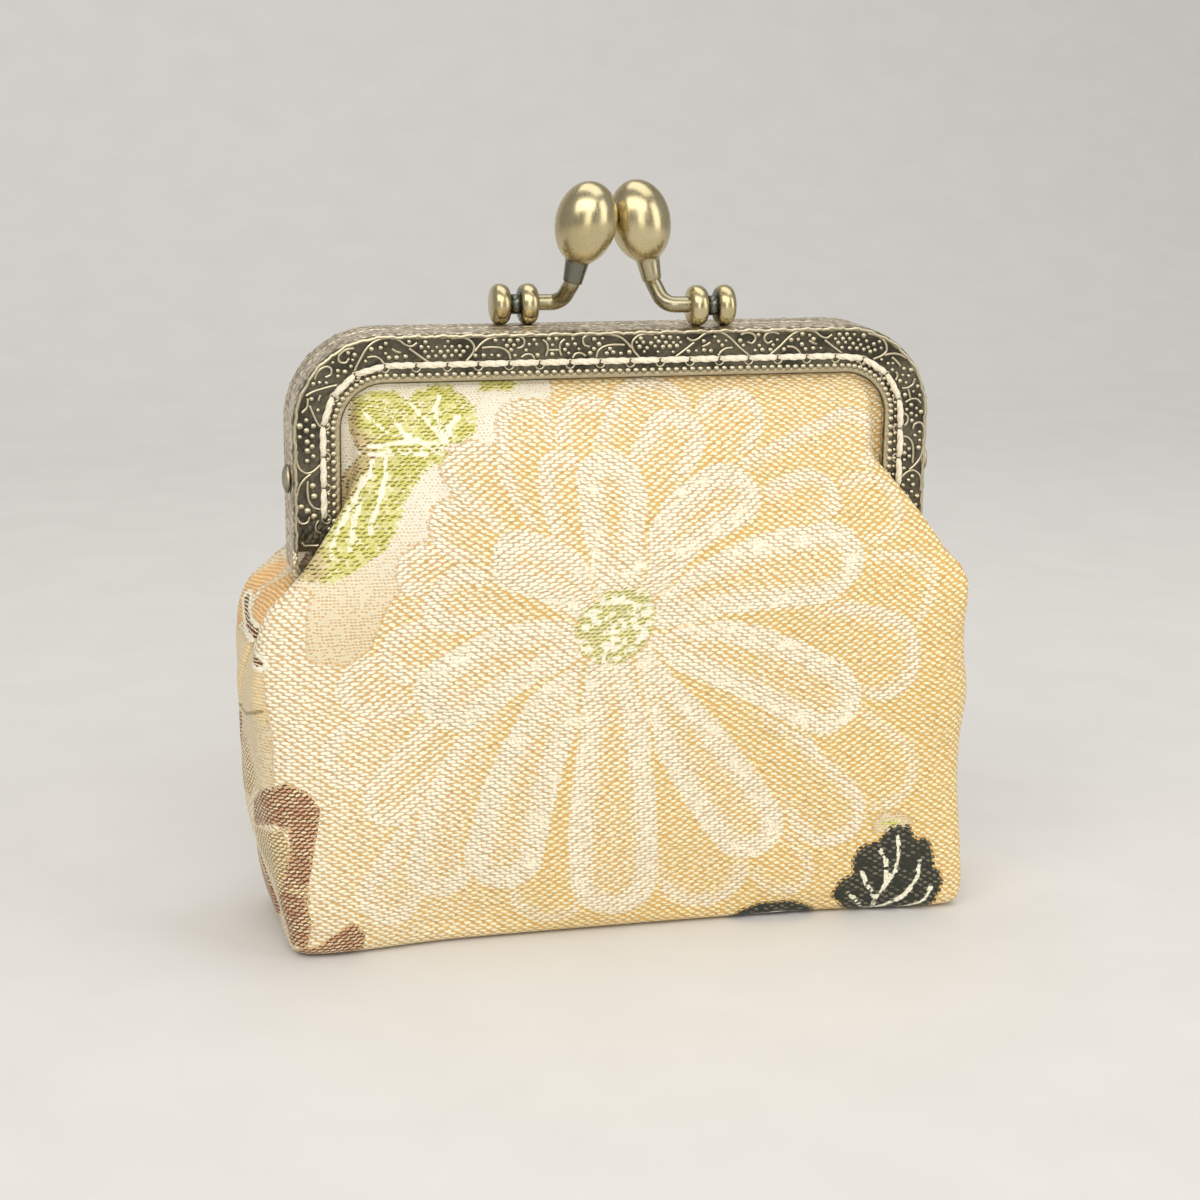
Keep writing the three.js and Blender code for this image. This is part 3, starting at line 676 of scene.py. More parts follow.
WHITE_THREAD = (1.0, 0.95, 0.75)
CREAM = (1.0, 0.89, 0.54)
TAN_GAP = (0.70, 0.46, 0.22)
GOLD_GAP = (0.76, 0.46, 0.12)
GREY_GAP = (0.58, 0.42, 0.235)
DARK_GAP = (0.42, 0.25, 0.09)
FINE_TAN = (0.84, 0.62, 0.38)
PLAIN_WHITE = (0.90, 0.85, 0.69)
PLAIN_CREAM = (0.83, 0.715, 0.475)
PLAIN_TAN = (0.62, 0.435, 0.23)
LEAF_PALE = (0.80, 0.755, 0.34)
LEAF_GREEN = (0.70, 0.68, 0.16)
LEAF_OLIVE = (0.26, 0.205, 0.03)
LEAF_BROWN = (0.10, 0.072, 0.03)
DARK_GREEN = (0.018, 0.020, 0.009)
DARK_FLOAT = (0.18, 0.16, 0.105)
RED_BROWN = (0.16, 0.045, 0.016)
BROWN_FLOAT = (0.72, 0.43, 0.23)
TAN_BROWN = (0.36, 0.20, 0.07)
ORANGE = (0.80, 0.40, 0.12)
RIB_TAN = (0.76, 0.58, 0.31)
RIB_PALE = (0.92, 0.76, 0.46)


def woven_cells(finish, u, v, cell, drop):
    """Place inside each cell of a lattice whose rows slide by the drop, and a chance for the cell."""
    width, height = cell
    row = (v / height).math("FLOOR")
    slid = u / width + row.math("FLOORED_MODULO", DROP_ROWS) * drop
    across = slid.math("FRACT").centred()
    up = (v / height).math("FRACT").centred()
    return across, up, finish.chance(slid.math("FLOOR"), row)


def oval(across, up, half_width, half_height):
    """Zero in the middle of an oval and one on its edge."""
    return (across / half_width).squared() + (up / half_height).squared()


# %% Lay out the threads
SWAY_ACROSS, SWAY_UP = 0.9, 0.7
FLOAT_SHIFT, FLOAT_BOB, FLOAT_LEAN = 0.12, 0.25, 0.3
FLOAT_HALF_WIDTHS, FLOAT_HALF_HEIGHT = (0.43, 0.29), 0.57
LEAF_LEAN = 0.45
RIB_PITCH = 0.44


class Brocade(Finish):
    """The finish of the cloth, with the lattices of threads that its zones share."""

    def __init__(self):
        super().__init__("brocade")
        u, v, _ = self.split(self.out(self.node("ShaderNodeUVMap", uv_map="cloth")))
        u = u * UV_UNIT
        v = v * UV_UNIT
        self.place = self.joined(u, v)
        self.patches = self.noise(self.place, 0.45, 2)
        sway = self.noise(self.place, 0.55, 4, 0.72)
        lift = self.noise(self.joined(v, u), 0.6, 4, 0.72)
        self.u = u + sway.centred() * SWAY_ACROSS
        self.v = v + lift.centred() * SWAY_UP
        self.rib = (self.v * (2 * math.pi / RIB_PITCH)).math("SINE")
        self.lay_long_floats()
        self.lay_short_floats()

    def lay_long_floats(self):
        across, up, luck = woven_cells(self, self.u, self.v, FLOATS, HALF_DROP)
        self.luck = luck
        self.tone = self.attribute("tone") + luck.centred() * 0.2 + self.patches.centred() * 0.25
        across = across + luck.centred() * FLOAT_SHIFT
        bob = (luck * 7.0).math("FRACT").centred() * FLOAT_BOB
        leaning = up - across * self.attribute("lean") * FLOAT_LEAN + bob
        half_width = self.tone.ramp(0.0, 1.0, *FLOAT_HALF_WIDTHS) + luck * 0.05
        self.round_float = oval(across, leaning, half_width, FLOAT_HALF_HEIGHT)
        self.thread = self.round_float.ramp(1.35, 0.45)
        self.stepped = self.thread.centred() * 0.45
        coarse = self.attribute("coarse") + self.patches.centred() * 1.2 + luck.centred() * 0.3
        self.coarse = coarse.ramp(0.35, 0.60)

    def lay_short_floats(self):
        across, up, luck = woven_cells(self, self.u, self.v, FINE_FLOATS, THIRD_DROP)
        self.fine_luck = luck
        self.speck = oval(across, up, 0.36, 0.32).ramp(1.25, 0.3) * luck.ramp(0.15, 0.6)
        self.dash = oval(across, up, 0.52, 0.34).ramp(1.25, 0.3) * luck.ramp(0.1, 0.5)
        across, up, luck = woven_cells(self, self.u, self.v, LEAF_FLOATS, THIRD_DROP)
        self.leaf_luck = luck
        up = up - across * LEAF_LEAN
        self.leaf_dash = oval(across, up, luck * 0.25 + 0.36, 0.27).ramp(1.2, 0.4)
        self.slit = oval(across, up, 0.52, 0.34).ramp(1.1, 0.5)

    def zone(self, name, edge=0.08):
        """How far a point lies inside a motif, with an edge that is stepped by the threads."""
        return (self.attribute(name) + self.stepped).ramp(-edge, edge)


# %% Colours of the ground and of the plain parts
PLAIN_FADE = (62.0, 44.0)


def ground_colour(cloth):
    """Cream floats over gaps from grey to gold, and a finer weave where the petals are palest."""
    mix, tone = cloth.mix, cloth.tone
    gap = mix(tone.ramp(0.1, 0.9), TAN_GAP, GOLD_GAP)
    gap = mix(tone.ramp(0.1, -0.2), gap, GREY_GAP)
    gap = mix(cloth.fine_luck.ramp(0.6, 1.0) * 0.6, gap, DARK_GAP)
    lattice = mix(cloth.thread, gap, mix(tone.ramp(0.2, 1.0), WHITE_THREAD, CREAM))
    return mix(cloth.coarse, mix(cloth.speck * 0.9, WHITE_THREAD, FINE_TAN), lattice)


def plain_colour(cloth):
    """White with a few specks near the frame, and cream with dashes further down."""
    low_down = cloth.v.ramp(*PLAIN_FADE)
    flecks = cloth.speck * low_down.inverse() * 0.6 + cloth.dash * low_down
    return cloth.mix(flecks, cloth.mix(low_down, PLAIN_WHITE, PLAIN_CREAM), PLAIN_TAN)


# %% Colours of the leaves, petals and veins
def leaf_colour(cloth):
    mix, luck = cloth.mix, cloth.leaf_luck
    shaded = cloth.attribute("leaf_shade")
    light = mix((cloth.patches + luck.centred() * 0.6).ramp(0.20, 0.55), LEAF_PALE, LEAF_GREEN)
    light = mix(cloth.fine_luck.ramp(0.70, 0.95) * 0.55, light, WHITE_THREAD)
    light = mix(shaded * 0.7, light, PLAIN_TAN)
    dark = mix(shaded, LEAF_OLIVE, LEAF_BROWN)
    return mix(cloth.leaf_dash * luck.ramp(0.05, 0.6, 0.25, 1.0), light, dark)


def middle_colour(cloth):
    blotch = (cloth.noise(cloth.place, 0.8, 1) + cloth.leaf_luck.centred() * 0.35).ramp(0.40, 0.50)
    return cloth.mix(blotch, WHITE_THREAD, cloth.mix(cloth.leaf_dash * 0.8, LEAF_PALE, LEAF_OLIVE))


def dark_leaf_colour(cloth):
    small_float = cloth.round_float.ramp(0.7, 0.2) * cloth.luck.ramp(0.1, 0.5)
    return cloth.mix(small_float, DARK_GREEN, DARK_FLOAT)


def brown_colour(cloth):
    brown_float = cloth.mix(cloth.luck.ramp(0.15, 0.9) * 0.8, BROWN_FLOAT, CREAM)
    return cloth.mix(cloth.slit, RED_BROWN, brown_float)


# painted shadow of the crease, drawn as a dark olive line
def crease_shadow_share(cloth):
    return cloth.attribute("crease_shadow").ramp(0.34, 0.16) * cloth.attribute("ribbed").ramp(-2.5, -1.5) * 0.8


def vein_share(cloth):
    patterned = cloth.attribute("leaf").math("MAXIMUM", cloth.attribute("dark")).ramp(0.1, 0.3)
    return (cloth.attribute("vein") + cloth.leaf_luck.centred() * 0.25).ramp(0.34, 0.20) * patterned


# %% Lay the colours over one another
THREAD_RELIEF = 0.00013
LIGHT_AND_DARK_THREADS = (0.92, 1.04)


def brocade():
    cloth = Brocade()
    mix, zone, rib = cloth.mix, cloth.zone, cloth.rib
    plain = zone("plain")
    in_rib = zone("ribbed")
    stripe = cloth.attribute("stripe") + cloth.stepped * 0.4
    # what a layer covers and its colour, from the lowest to the top
    layers = (
        (plain, plain_colour(cloth)),
        (zone("leaf"), leaf_colour(cloth)),
        (zone("middle"), middle_colour(cloth)),
        (zone("dark", 0.05), dark_leaf_colour(cloth)),
        (zone("tan"), mix(cloth.slit, TAN_BROWN, CREAM)),
        (zone("brown"), brown_colour(cloth)),
        (in_rib, mix(rib.ramp(-0.9, 0.9), RIB_TAN, RIB_PALE)),
        (zone("orange"), mix(rib.ramp(-0.9, 0.9) * 0.6, ORANGE, CREAM)),
        (stripe.ramp(1.15, 1.0), WHITE_THREAD),
        (stripe.ramp(0.6, 0.45), mix(rib.ramp(0.2, 0.9), RED_BROWN, CREAM)),
        # painted fold shadow along the crease
        (crease_shadow_share(cloth), LEAF_OLIVE),
        (vein_share(cloth), WHITE_THREAD),
    )
    woven = ground_colour(cloth)
    for share, colour in layers:
        woven = mix(share, woven, colour)
    strength = cloth.node("ShaderNodeHueSaturation")
    feed(cloth.tree, strength.inputs["Value"], cloth.fine_luck.ramp(0.0, 1.0, *LIGHT_AND_DARK_THREADS))
    feed(cloth.tree, strength.inputs["Color"], woven)
    smooth_part = cloth.coarse.inverse().math("MAXIMUM", plain)
    height = cloth.round_float.ramp(1.4, 0.0) * smooth_part.inverse() - cloth.speck * smooth_part * 0.4
    cloth.relief(height * in_rib.inverse() + rib * in_rib * 0.25, THREAD_RELIEF)
    cloth.shade(Base_Color=cloth.out(strength, "Color"), Roughness=0.5)
    cloth.shade(Sheen_Weight=0.15, Sheen_Roughness=0.4)
    return cloth.material


brocade_cloth = brocade()
print("brocade nodes:", len(brocade_cloth.node_tree.nodes))

# %% [markdown]
# ## The two panels
#
# Both panels share one loft, and the back one is turned round. Each is one sheet with a wall, so a
# Solidify modifier gives it the cloth's thickness towards the inside. The distances of the pattern
# are stored on the points, and the measures of the cloth become its UV map.

# %% Make the panels
PANEL_THICKNESS = 1.2
BACK_PATTERN_SHIFT = (13.0, -6.0)
BACK_WAVE_TURN = 1.9


def grid_faces(rows, columns):
    index = np.arange(rows * columns).reshape(rows, columns)
    corners = (index[:-1, :-1], index[:-1, 1:], index[1:, 1:], index[1:, :-1])
    return np.stack(corners, axis=-1).reshape(-1, 4)


def placed(name, data):
    made = bpy.data.objects.new(name, data)
    bpy.context.scene.collection.objects.link(made)
    return made


def store(mesh, name, values, domain="POINT"):
    layer = mesh.attributes.new(name, "FLOAT", domain)
    layer.data.foreach_set("value", np.ascontiguousarray(values, np.float32).ravel())


def mesh_object(name, points, faces, material):
    mesh = bpy.data.meshes.new(name)
    mesh.from_pydata((np.asarray(points) * MM).tolist(), [], [list(map(int, face)) for face in faces])
    mesh.materials.append(material)
    mesh.polygons.foreach_set("use_smooth", [True] * len(mesh.polygons))
    mesh.update()
    return placed(name, mesh)


def sewn_panel(name, facing, turn, *pattern):
    grid = softened(smooth_panel, cloth_u, cloth_v, turn)
    grid[..., 1] *= -facing
    faces = grid_faces(*grid.shape[:2])
    if facing > 0:
        faces = faces[:, ::-1]
    panel = mesh_object(name, grid.reshape(-1, 3), faces, brocade_cloth)
    mesh = panel.data
    fields = pattern_fields(cloth_u.ravel(), cloth_v.ravel(), *pattern)
    store(mesh, "lean", fields.pop("lean").reshape(cloth_u.shape)[:-1, :-1], "FACE")
    for field, values in fields.items():
        store(mesh, field, values)
    corner_points = np.zeros(len(mesh.loops), np.int32)
    mesh.loops.foreach_get("vertex_index", corner_points)
    measures = np.column_stack([cloth_u.ravel(), cloth_v.ravel()]) / UV_UNIT
    mesh.uv_layers.new(name="cloth").data.foreach_set("uv", measures[corner_points].ravel())
    wall = panel.modifiers.new("wall", "SOLIDIFY")
    wall.thickness = PANEL_THICKNESS * MM
    wall.offset = -1
    area = sum(polygon.area for polygon in mesh.polygons)
    print(name, len(mesh.polygons), "faces", round(area * 1e4, 1), "cm2")
    return panel


pouch_front = sewn_panel("pouch_front_cloth", -1, 0.0, (0, 0), FRONT_STRIPE, FRONT_ORANGE)
back_pattern = (BACK_PATTERN_SHIFT, BACK_STRIPE, BACK_ORANGE)
pouch_back = sewn_panel("pouch_back_cloth", 1, BACK_WAVE_TURN, *back_pattern)

# %% [markdown]
# ## Places on the frame
#
# Everything on the frame follows its outline: the channel, the scrolls, the beads and the stitches.
# One function turns a distance along the frame and a distance in from its outer edge into a place,
# round both corners, so all of these can be laid out as on a straight strip.

# %% From distances along and into the frame to places
HALF_DEPTH = 5.0
FLANGE_END_HEIGHT = 52.5
STRIP_END_HEIGHT = 49.5
GUIDE_INSET = 3.0
CORNER_ARC = (FRAME_CORNER_RADIUS - GUIDE_INSET) * math.pi / 2
LEG_START = CORNER_X + CORNER_ARC
FLANGE_END = LEG_START + CORNER_Z - FLANGE_END_HEIGHT
STRIP_END = LEG_START + CORNER_Z - STRIP_END_HEIGHT


def on_frame(along, inset, depth, facing):
    """Places for distances along the frame from its top centre, in from its edge, and out in depth."""
    along, inset, depth = np.broadcast_arrays(*(np.asarray(a, float) for a in (along, inset, depth)))
    far = np.abs(along)
    angle = np.clip((far - CORNER_X) / (FRAME_CORNER_RADIUS - GUIDE_INSET), 0, math.pi / 2)
    radius = FRAME_CORNER_RADIUS - inset
    x = np.minimum(far, CORNER_X) + radius * np.sin(angle)
    z = CORNER_Z + radius * np.cos(angle) - np.maximum(far - LEG_START, 0)
    return np.stack([np.sign(along) * x, facing * depth, z], axis=-1)


print("frame length along its guide:", round(2 * FLANGE_END, 1), "mm")

# %% [markdown]
# ## Antique brass
#
# The brass was darkened and then rubbed, so recesses are nearly black-green and whatever stands
# proud is bright. A curvature mask could find the proud places, but on this frame height is enough:
# the further a point stands out from the middle of the purse, the more it was rubbed. On top of this
# wear, what faces up gets a painted highlight and what faces down gets painted shade.

# %% Materials of the metal
PATINA_DARK = (0.065, 0.060, 0.045)
PATINA_MID = (0.24, 0.21, 0.145)
# bright rubbed brass, also laid on up-facing points as a painted highlight
RUBBED_AND_TOP_LIT = (0.74, 0.66, 0.47)
SATIN_BRASS = (0.50, 0.42, 0.235)
SATIN_BRIGHT = (0.64, 0.555, 0.34)
SPINE_BRIGHT = (0.94, 0.83, 0.64)
SPINE_DARK = (0.40, 0.34, 0.25)
LIP_BROWN = (0.50, 0.42, 0.27)
# blue-green of the clasp's oxide, also used as painted shade at the feet of the posts
PATINA_AND_SHADE_BLUE = (0.11, 0.125, 0.115)
RECESS_MID = (0.15, 0.135, 0.095)
# depths out from the middle between which the spine turns into the face, and the face into the lip
FACE_DEPTHS, LIP_DEPTHS = (4.7, 4.9), (5.01, 5.07)


def depth_out(finish, place):
    """Distance from the plane between the two halves."""
    return finish.split(place)[1].math("ABSOLUTE")


def embossed_brass(name, floor, crest):
    """Brass rubbed bright between two depths from the middle of the purse, with a painted highlight on
    what faces up and painted shade on what faces down.
    """
    finish = Finish(name)
    place = finish.place_on_piece()
    depth = depth_out(finish, place)
    patches = finish.noise(place, 420, 3)
    speckle = finish.noise(place, 2600, 2)
    dark = finish.mix(patches.ramp(0.35, 0.7), PATINA_DARK, PATINA_MID)
    rubbed = depth.ramp(floor * MM, crest * MM) + speckle.centred() * 0.5
    # painted light: points that face up get more of the bright brass as a highlight, and points that
    # face down get less, as shade
    worn_and_top_lit = rubbed.ramp(0.1, 1.0) * finish.attribute("up_facing_for_painted_light").ramp(-0.5, 0.5, 0.30, 1.0)
    finish.shade(Base_Color=finish.mix(worn_and_top_lit, dark, RUBBED_AND_TOP_LIT), Metallic=1.0)
    finish.shade(Roughness=patches.ramp(0.3, 0.7, 0.28, 0.42))
    finish.relief(speckle, 0.00004, 0.5)
    return finish.material


def pebbled_brass():
    """The channel: a spine of fine pebbles, a dark face and a browner lip."""
    finish = Finish("pebbled_brass")
    place = finish.place_on_piece()
    depth = depth_out(finish, place)
    patches = finish.noise(place, 300, 3)
    cells = finish.node("ShaderNodeTexVoronoi")
    cells.inputs["Scale"].default_value = 1500
    feed(finish.tree, cells.inputs["Vector"], place)
    pebble = finish.out(cells, "Distance") + patches.centred() * 0.5
    spine = finish.mix(pebble.ramp(0.72, 0.22), SPINE_DARK, SPINE_BRIGHT)
    recess = finish.mix(patches.ramp(0.35, 0.65), PATINA_DARK, RECESS_MID)
    on_face, on_lip = (depth.ramp(low * MM, high * MM) for low, high in (FACE_DEPTHS, LIP_DEPTHS))
    tone = finish.mix(on_face, spine, recess)
    finish.shade(Base_Color=finish.mix(on_lip, tone, LIP_BROWN), Metallic=1.0)
    finish.shade(Roughness=patches.ramp(0.3, 0.7, 0.34, 0.5))
    finish.relief(pebble.inverse(), 0.00012, 1.0)
    return finish.material


def satin_brass():
    finish = Finish("satin_brass")
    place = finish.place_on_piece()
    stretch = finish.node("ShaderNodeMapping")
    stretch.inputs["Scale"].default_value = (1.0, 1.0, 0.12)
    feed(finish.tree, stretch.inputs["Vector"], place)
    brushed = finish.noise(finish.out(stretch), 4200, 3, 0.6)
    cloudy = finish.noise(place, 200, 2)
    tone = (brushed * 0.3 + cloudy * 0.7).ramp(0.25, 0.75)
    brass = finish.mix(tone, SATIN_BRASS, SATIN_BRIGHT)
    # the recess attribute holds patina, and painted shade at the feet of the posts
    finish.shade(Base_Color=finish.mix(finish.attribute("recess"), brass, PATINA_AND_SHADE_BLUE), Metallic=1.0)
    finish.shade(Roughness=brushed.ramp(0.3, 0.7, 0.22, 0.30))
    finish.relief(brushed, 0.000004, 0.3)
    return finish.material


def mark_up_facing_for_painted_light(piece):
    """Store on each point how far it faces up, for the painted highlight and shade on the rubbed brass.
    """
    mesh = piece.data
    normals = np.zeros(len(mesh.vertices) * 3, np.float32)
    mesh.vertex_normals.foreach_get("vector", normals)
    store(mesh, "up_facing_for_painted_light", normals[2::3])
    return piece


frame_brass = pebbled_brass()
scroll_brass = embossed_brass("rubbed_and_top_lit_brass", 4.88, 5.20)
clasp_brass = satin_brass()
rivet_brass = embossed_brass("rivet_brass", 0.5, 5.0)
metals = (frame_brass, scroll_brass, clasp_brass, rivet_brass)
print("metals:", ", ".join(metal.name for metal in metals))

# %% [markdown]
# ## The channel of each frame half
#
# Each half is a folded brass channel: a rounded spine, a face with a raised rim and a rolled lip, and
# a flange inside. A bevelled curve would round the corners of the section, so the exact section is
# swept along the outline. Below the flanges only a thin side strip goes on.

# %% Sweep the frame halves
CHANNEL_SECTION = (
    # distance in from the outer edge, depth out from the middle of the purse
    (6.30, 4.66), (6.28, 4.86), (6.18, 5.00), (6.00, 5.07), (5.75, 5.08), (5.50, 5.05), (5.28, 4.98),
    (5.06, 4.95), (0.90, 4.95), (0.76, 5.00), (0.60, 5.08), (0.46, 5.09), (0.33, 5.03), (0.22, 4.90),
    (0.12, 4.68), (0.05, 4.40), (0.01, 4.10), (0.00, 3.80), (0.00, 0.20), (6.30, 0.20), (6.30, 0.80),
    (0.70, 0.80), (0.70, 3.70), (1.20, 4.30), (6.30, 4.30),
)
STRIP_SECTION = ((0.00, 4.0), (0.00, 0.2), (0.70, 0.2), (0.70, 4.0))
STRIP_OVERLAP = 0.05
EDGE_BEVEL = 0.08
SHARP_EDGE_DEGREES = 50


def stations(start, end, straight_step=2.0, corner_step=0.45):
    marks = [start]
    while marks[-1] < end:
        in_corner = CORNER_X - straight_step < abs(marks[-1]) < LEG_START + corner_step
        marks.append(marks[-1] + (corner_step if in_corner else straight_step))
    marks[-1] = end
    return np.array(marks)


def tube_faces(index):
    """Faces between the rings of a tube."""
    after = np.roll(index, -1, axis=1)
    return np.stack([index[:-1], after[:-1], after[1:], index[1:]], axis=-1).reshape(-1, 4).tolist()


def swept(section, marks, facing):
    inset, depth = np.array(section).T
    points = on_frame(marks[:, None], inset[None], depth[None], facing)
    count = len(section)
    index = np.arange(len(marks) * count).reshape(len(marks), count)
    faces = [*tube_faces(index), index[0, ::-1].tolist(), index[-1].tolist()]
    return points.reshape(-1, 3), faces


def joined_mesh(name, pieces, material):
    points, faces, start = [], [], 0
    for piece_points, piece_faces in pieces:
        points.append(piece_points)
        faces += [[start + i for i in face] for face in piece_faces]
        start += len(piece_points)
    made = mesh_object(name, np.vstack(points), faces, material)
    mesh = made.data
    shape = bmesh.new()
    shape.from_mesh(mesh)
    bmesh.ops.recalc_face_normals(shape, faces=shape.faces)
    shape.to_mesh(mesh)
    shape.free()
    return made


def frame_half(name, facing):
    pieces = [swept(CHANNEL_SECTION, stations(-FLANGE_END, FLANGE_END), facing)]
    for side in (-1, 1):
        ends = sorted((side * (FLANGE_END - STRIP_OVERLAP), side * STRIP_END))
        pieces.append(swept(STRIP_SECTION, np.array(ends), facing))
    half = joined_mesh(name, pieces, frame_brass)
    bevel = half.modifiers.new("edges", "BEVEL")
    bevel.width = EDGE_BEVEL * MM
    bevel.segments = 2
    bevel.limit_method = "ANGLE"
    bevel.angle_limit = math.radians(SHARP_EDGE_DEGREES)
    print(name, len(half.data.polygons), "faces")
    return half


frame_front = frame_half("frame_front_shell", -1)
frame_back = frame_half("frame_back_shell", 1)

# %% [markdown]
# ## Two small node tools
#
# The scrolls, the beads and the stitches all repeat or follow a path, which is what Geometry Nodes
# are for. One tree lays a round wire along lines and reads the wire's radius from each point, and
# the other sets a bead on every point. Both end as plain meshes.

# %% Build the two node trees
def new_tree(name, inputs):
    tree = bpy.data.node_groups.new(name, "GeometryNodeTree")
    tree.interface.new_socket("Geometry", in_out="INPUT", socket_type="NodeSocketGeometry")
    for label, kind in inputs:
        tree.interface.new_socket(label, in_out="INPUT", socket_type=kind)
    tree.interface.new_socket("Geometry", in_out="OUTPUT", socket_type="NodeSocketGeometry")
    return tree, tree.nodes.new("NodeGroupInput"), tree.nodes.new("NodeGroupOutput")


def point_value(tree, name):
    node = tree.nodes.new("GeometryNodeInputNamedAttribute")
    node.data_type = "FLOAT"
    node.inputs["Name"].default_value = name
    return node.outputs["Attribute"]


def finish_tree(tree, group_in, group_out, geometry):
    realize = tree.nodes.new("GeometryNodeRealizeInstances")
    smooth = tree.nodes.new("GeometryNodeSetShadeSmooth")
    paint = tree.nodes.new("GeometryNodeSetMaterial")
    tree.links.new(geometry, realize.inputs[0])
    tree.links.new(realize.outputs[0], smooth.inputs[0])
    tree.links.new(smooth.outputs[0], paint.inputs["Geometry"])
    tree.links.new(group_in.outputs["Finish"], paint.inputs["Material"])
    tree.links.new(paint.outputs[0], group_out.inputs[0])


def wire_tree():
    inputs = (("Sides", "NodeSocketInt"), ("Finish", "NodeSocketMaterial"))
    tree, group_in, group_out = new_tree("wire_along_lines", inputs)
    curve = tree.nodes.new("GeometryNodeMeshToCurve")
    ring = tree.nodes.new("GeometryNodeCurvePrimitiveCircle")
    ring.inputs["Radius"].default_value = 1.0
    sweep = tree.nodes.new("GeometryNodeCurveToMesh")
    sweep.inputs["Fill Caps"].default_value = True
    tree.links.new(group_in.outputs["Geometry"], curve.inputs[0])
    tree.links.new(curve.outputs[0], sweep.inputs["Curve"])
    tree.links.new(point_value(tree, "wire_radius"), sweep.inputs["Scale"])
    tree.links.new(group_in.outputs["Sides"], ring.inputs["Resolution"])
    tree.links.new(ring.outputs[0], sweep.inputs["Profile Curve"])
    finish_tree(tree, group_in, group_out, sweep.outputs[0])
    return tree


def bead_tree():
    inputs = (
        ("Rounding", "NodeSocketInt"),
        ("Height", "NodeSocketFloat"),
        ("Finish", "NodeSocketMaterial"),
    )
    tree, group_in, group_out = new_tree("beads_on_points", inputs)
    bead = tree.nodes.new("GeometryNodeMeshIcoSphere")
    bead.inputs["Radius"].default_value = 1.0
    place = tree.nodes.new("GeometryNodeInstanceOnPoints")
    scale = tree.nodes.new("ShaderNodeCombineXYZ")
    flatten = tree.nodes.new("ShaderNodeMath")
    flatten.operation = "MULTIPLY"
    radius = point_value(tree, "bead_radius")
    tree.links.new(group_in.outputs["Rounding"], bead.inputs["Subdivisions"])
    tree.links.new(radius, flatten.inputs[0])
    tree.links.new(group_in.outputs["Height"], flatten.inputs[1])
    tree.links.new(radius, scale.inputs["X"])
    tree.links.new(flatten.outputs[0], scale.inputs["Y"])
    tree.links.new(radius, scale.inputs["Z"])
    tree.links.new(group_in.outputs["Geometry"], place.inputs["Points"])
    tree.links.new(bead.outputs["Mesh"], place.inputs["Instance"])
    tree.links.new(scale.outputs[0], place.inputs["Scale"])
    finish_tree(tree, group_in, group_out, place.outputs[0])
    return tree


WIRES = wire_tree()
BEADS = bead_tree()
print("node trees:", WIRES.name, "and", BEADS.name)

# %% Run a node tree on points or lines and keep the plain mesh
def made_by_nodes(name, tree, points, edges, attribute, values, settings):
    source = bpy.data.meshes.new(name + "_points")
    source.from_pydata((np.asarray(points) * MM).tolist(), edges, [])
    store(source, attribute, np.asarray(values) * MM)
    carrier = placed(name + "_carrier", source)
    modifier = carrier.modifiers.new("nodes", "NODES")
    modifier.node_group = tree
    for socket in tree.interface.items_tree:
        if socket.in_out == "INPUT" and socket.name in settings:
            modifier[socket.identifier] = settings[socket.name]
    evaluated = carrier.evaluated_get(bpy.context.evaluated_depsgraph_get())
    mesh = bpy.data.meshes.new_from_object(evaluated)
    mesh.name = name
    carrier.modifiers.remove(modifier)
    bpy.data.objects.remove(carrier)
    print(name, len(mesh.polygons), "faces")
    return placed(name, mesh)


def wires(name, lines, radii, sides, finish):
    points, edges, values = [], [], []
    for line, radius in zip(lines, radii):
        edges += [(len(points) + i, len(points) + i + 1) for i in range(len(line) - 1)]
        points += [tuple(p) for p in line]
        values += [radius] * len(line) if np.isscalar(radius) else list(radius)
    settings = {"Sides": sides, "Finish": finish}
    return made_by_nodes(name, WIRES, points, edges, "wire_radius", values, settings)


def beads(name, points, radii, height, rounding, finish):
    settings = {"Rounding": rounding, "Height": height, "Finish": finish}
    return made_by_nodes(name, BEADS, points, [], "bead_radius", radii, settings)


# %% [markdown]
# ## Scrolls and dots
#
# The face of the frame carries a running scroll: a motif of arches, hooks and horns, mirrored about a
# short bar and repeated along the frame, with grape-like dots in the ground between, the largest of
# them on the left leg. The lines are drawn on the straight strip, and both frame halves lay the same
# drawing round their corners.

# %% Draw the running scroll on a straight strip
# Distances along the frame from the bar in the middle of one motif, and in from the frame's edge.
SCROLL_MOTIF = (
    ((0, 2.8), (0.3, 2.8), (0.62, 2.8)),
    ((1.45, 1.5), (0.9, 2.0), (0.78, 2.8), (1.0, 3.5)),
    ((2.5, 3.8), (2.9, 3.3), (3.6, 3.25), (4.2, 3.6)),
    (
        (4.7, 2.5), (4.0, 2.25), (3.85, 1.5), (4.6, 1.02), (6.6, 0.98), (8.5, 1.3), (9.5, 1.95),
        (10.2, 2.75),
    ),
    ((5.6, 3.8), (5.85, 3.05), (6.6, 2.5), (7.9, 2.3), (9.3, 2.35)),
    ((11.3, 3.9), (10.5, 3.0), (10.3, 2.2), (10.9, 1.4), (11.9, 1.08), (13.2, 1.15)),
    ((16.2, 3.9), (17.4, 3.1), (18.6, 2.25)),
    (
        (17.6, 1.6), (18.3, 2.0), (19.1, 1.8), (20, 1.2), (21.2, 0.98), (22.5, 1.2), (23.5, 1.8),
        (24.7, 2.9), (26, 3.9),
    ),
    ((21.9, 3.9), (22.3, 3.4), (22.9, 3.05), (23.8, 2.95)),
    ((19.7, 2.75), (20.3, 2.55), (20.8, 2.25)),
    ((24.9, 1.4), (25.8, 1.15), (26.7, 1.45), (26.9, 2.0), (26.4, 2.5), (25.8, 2.25)),
)
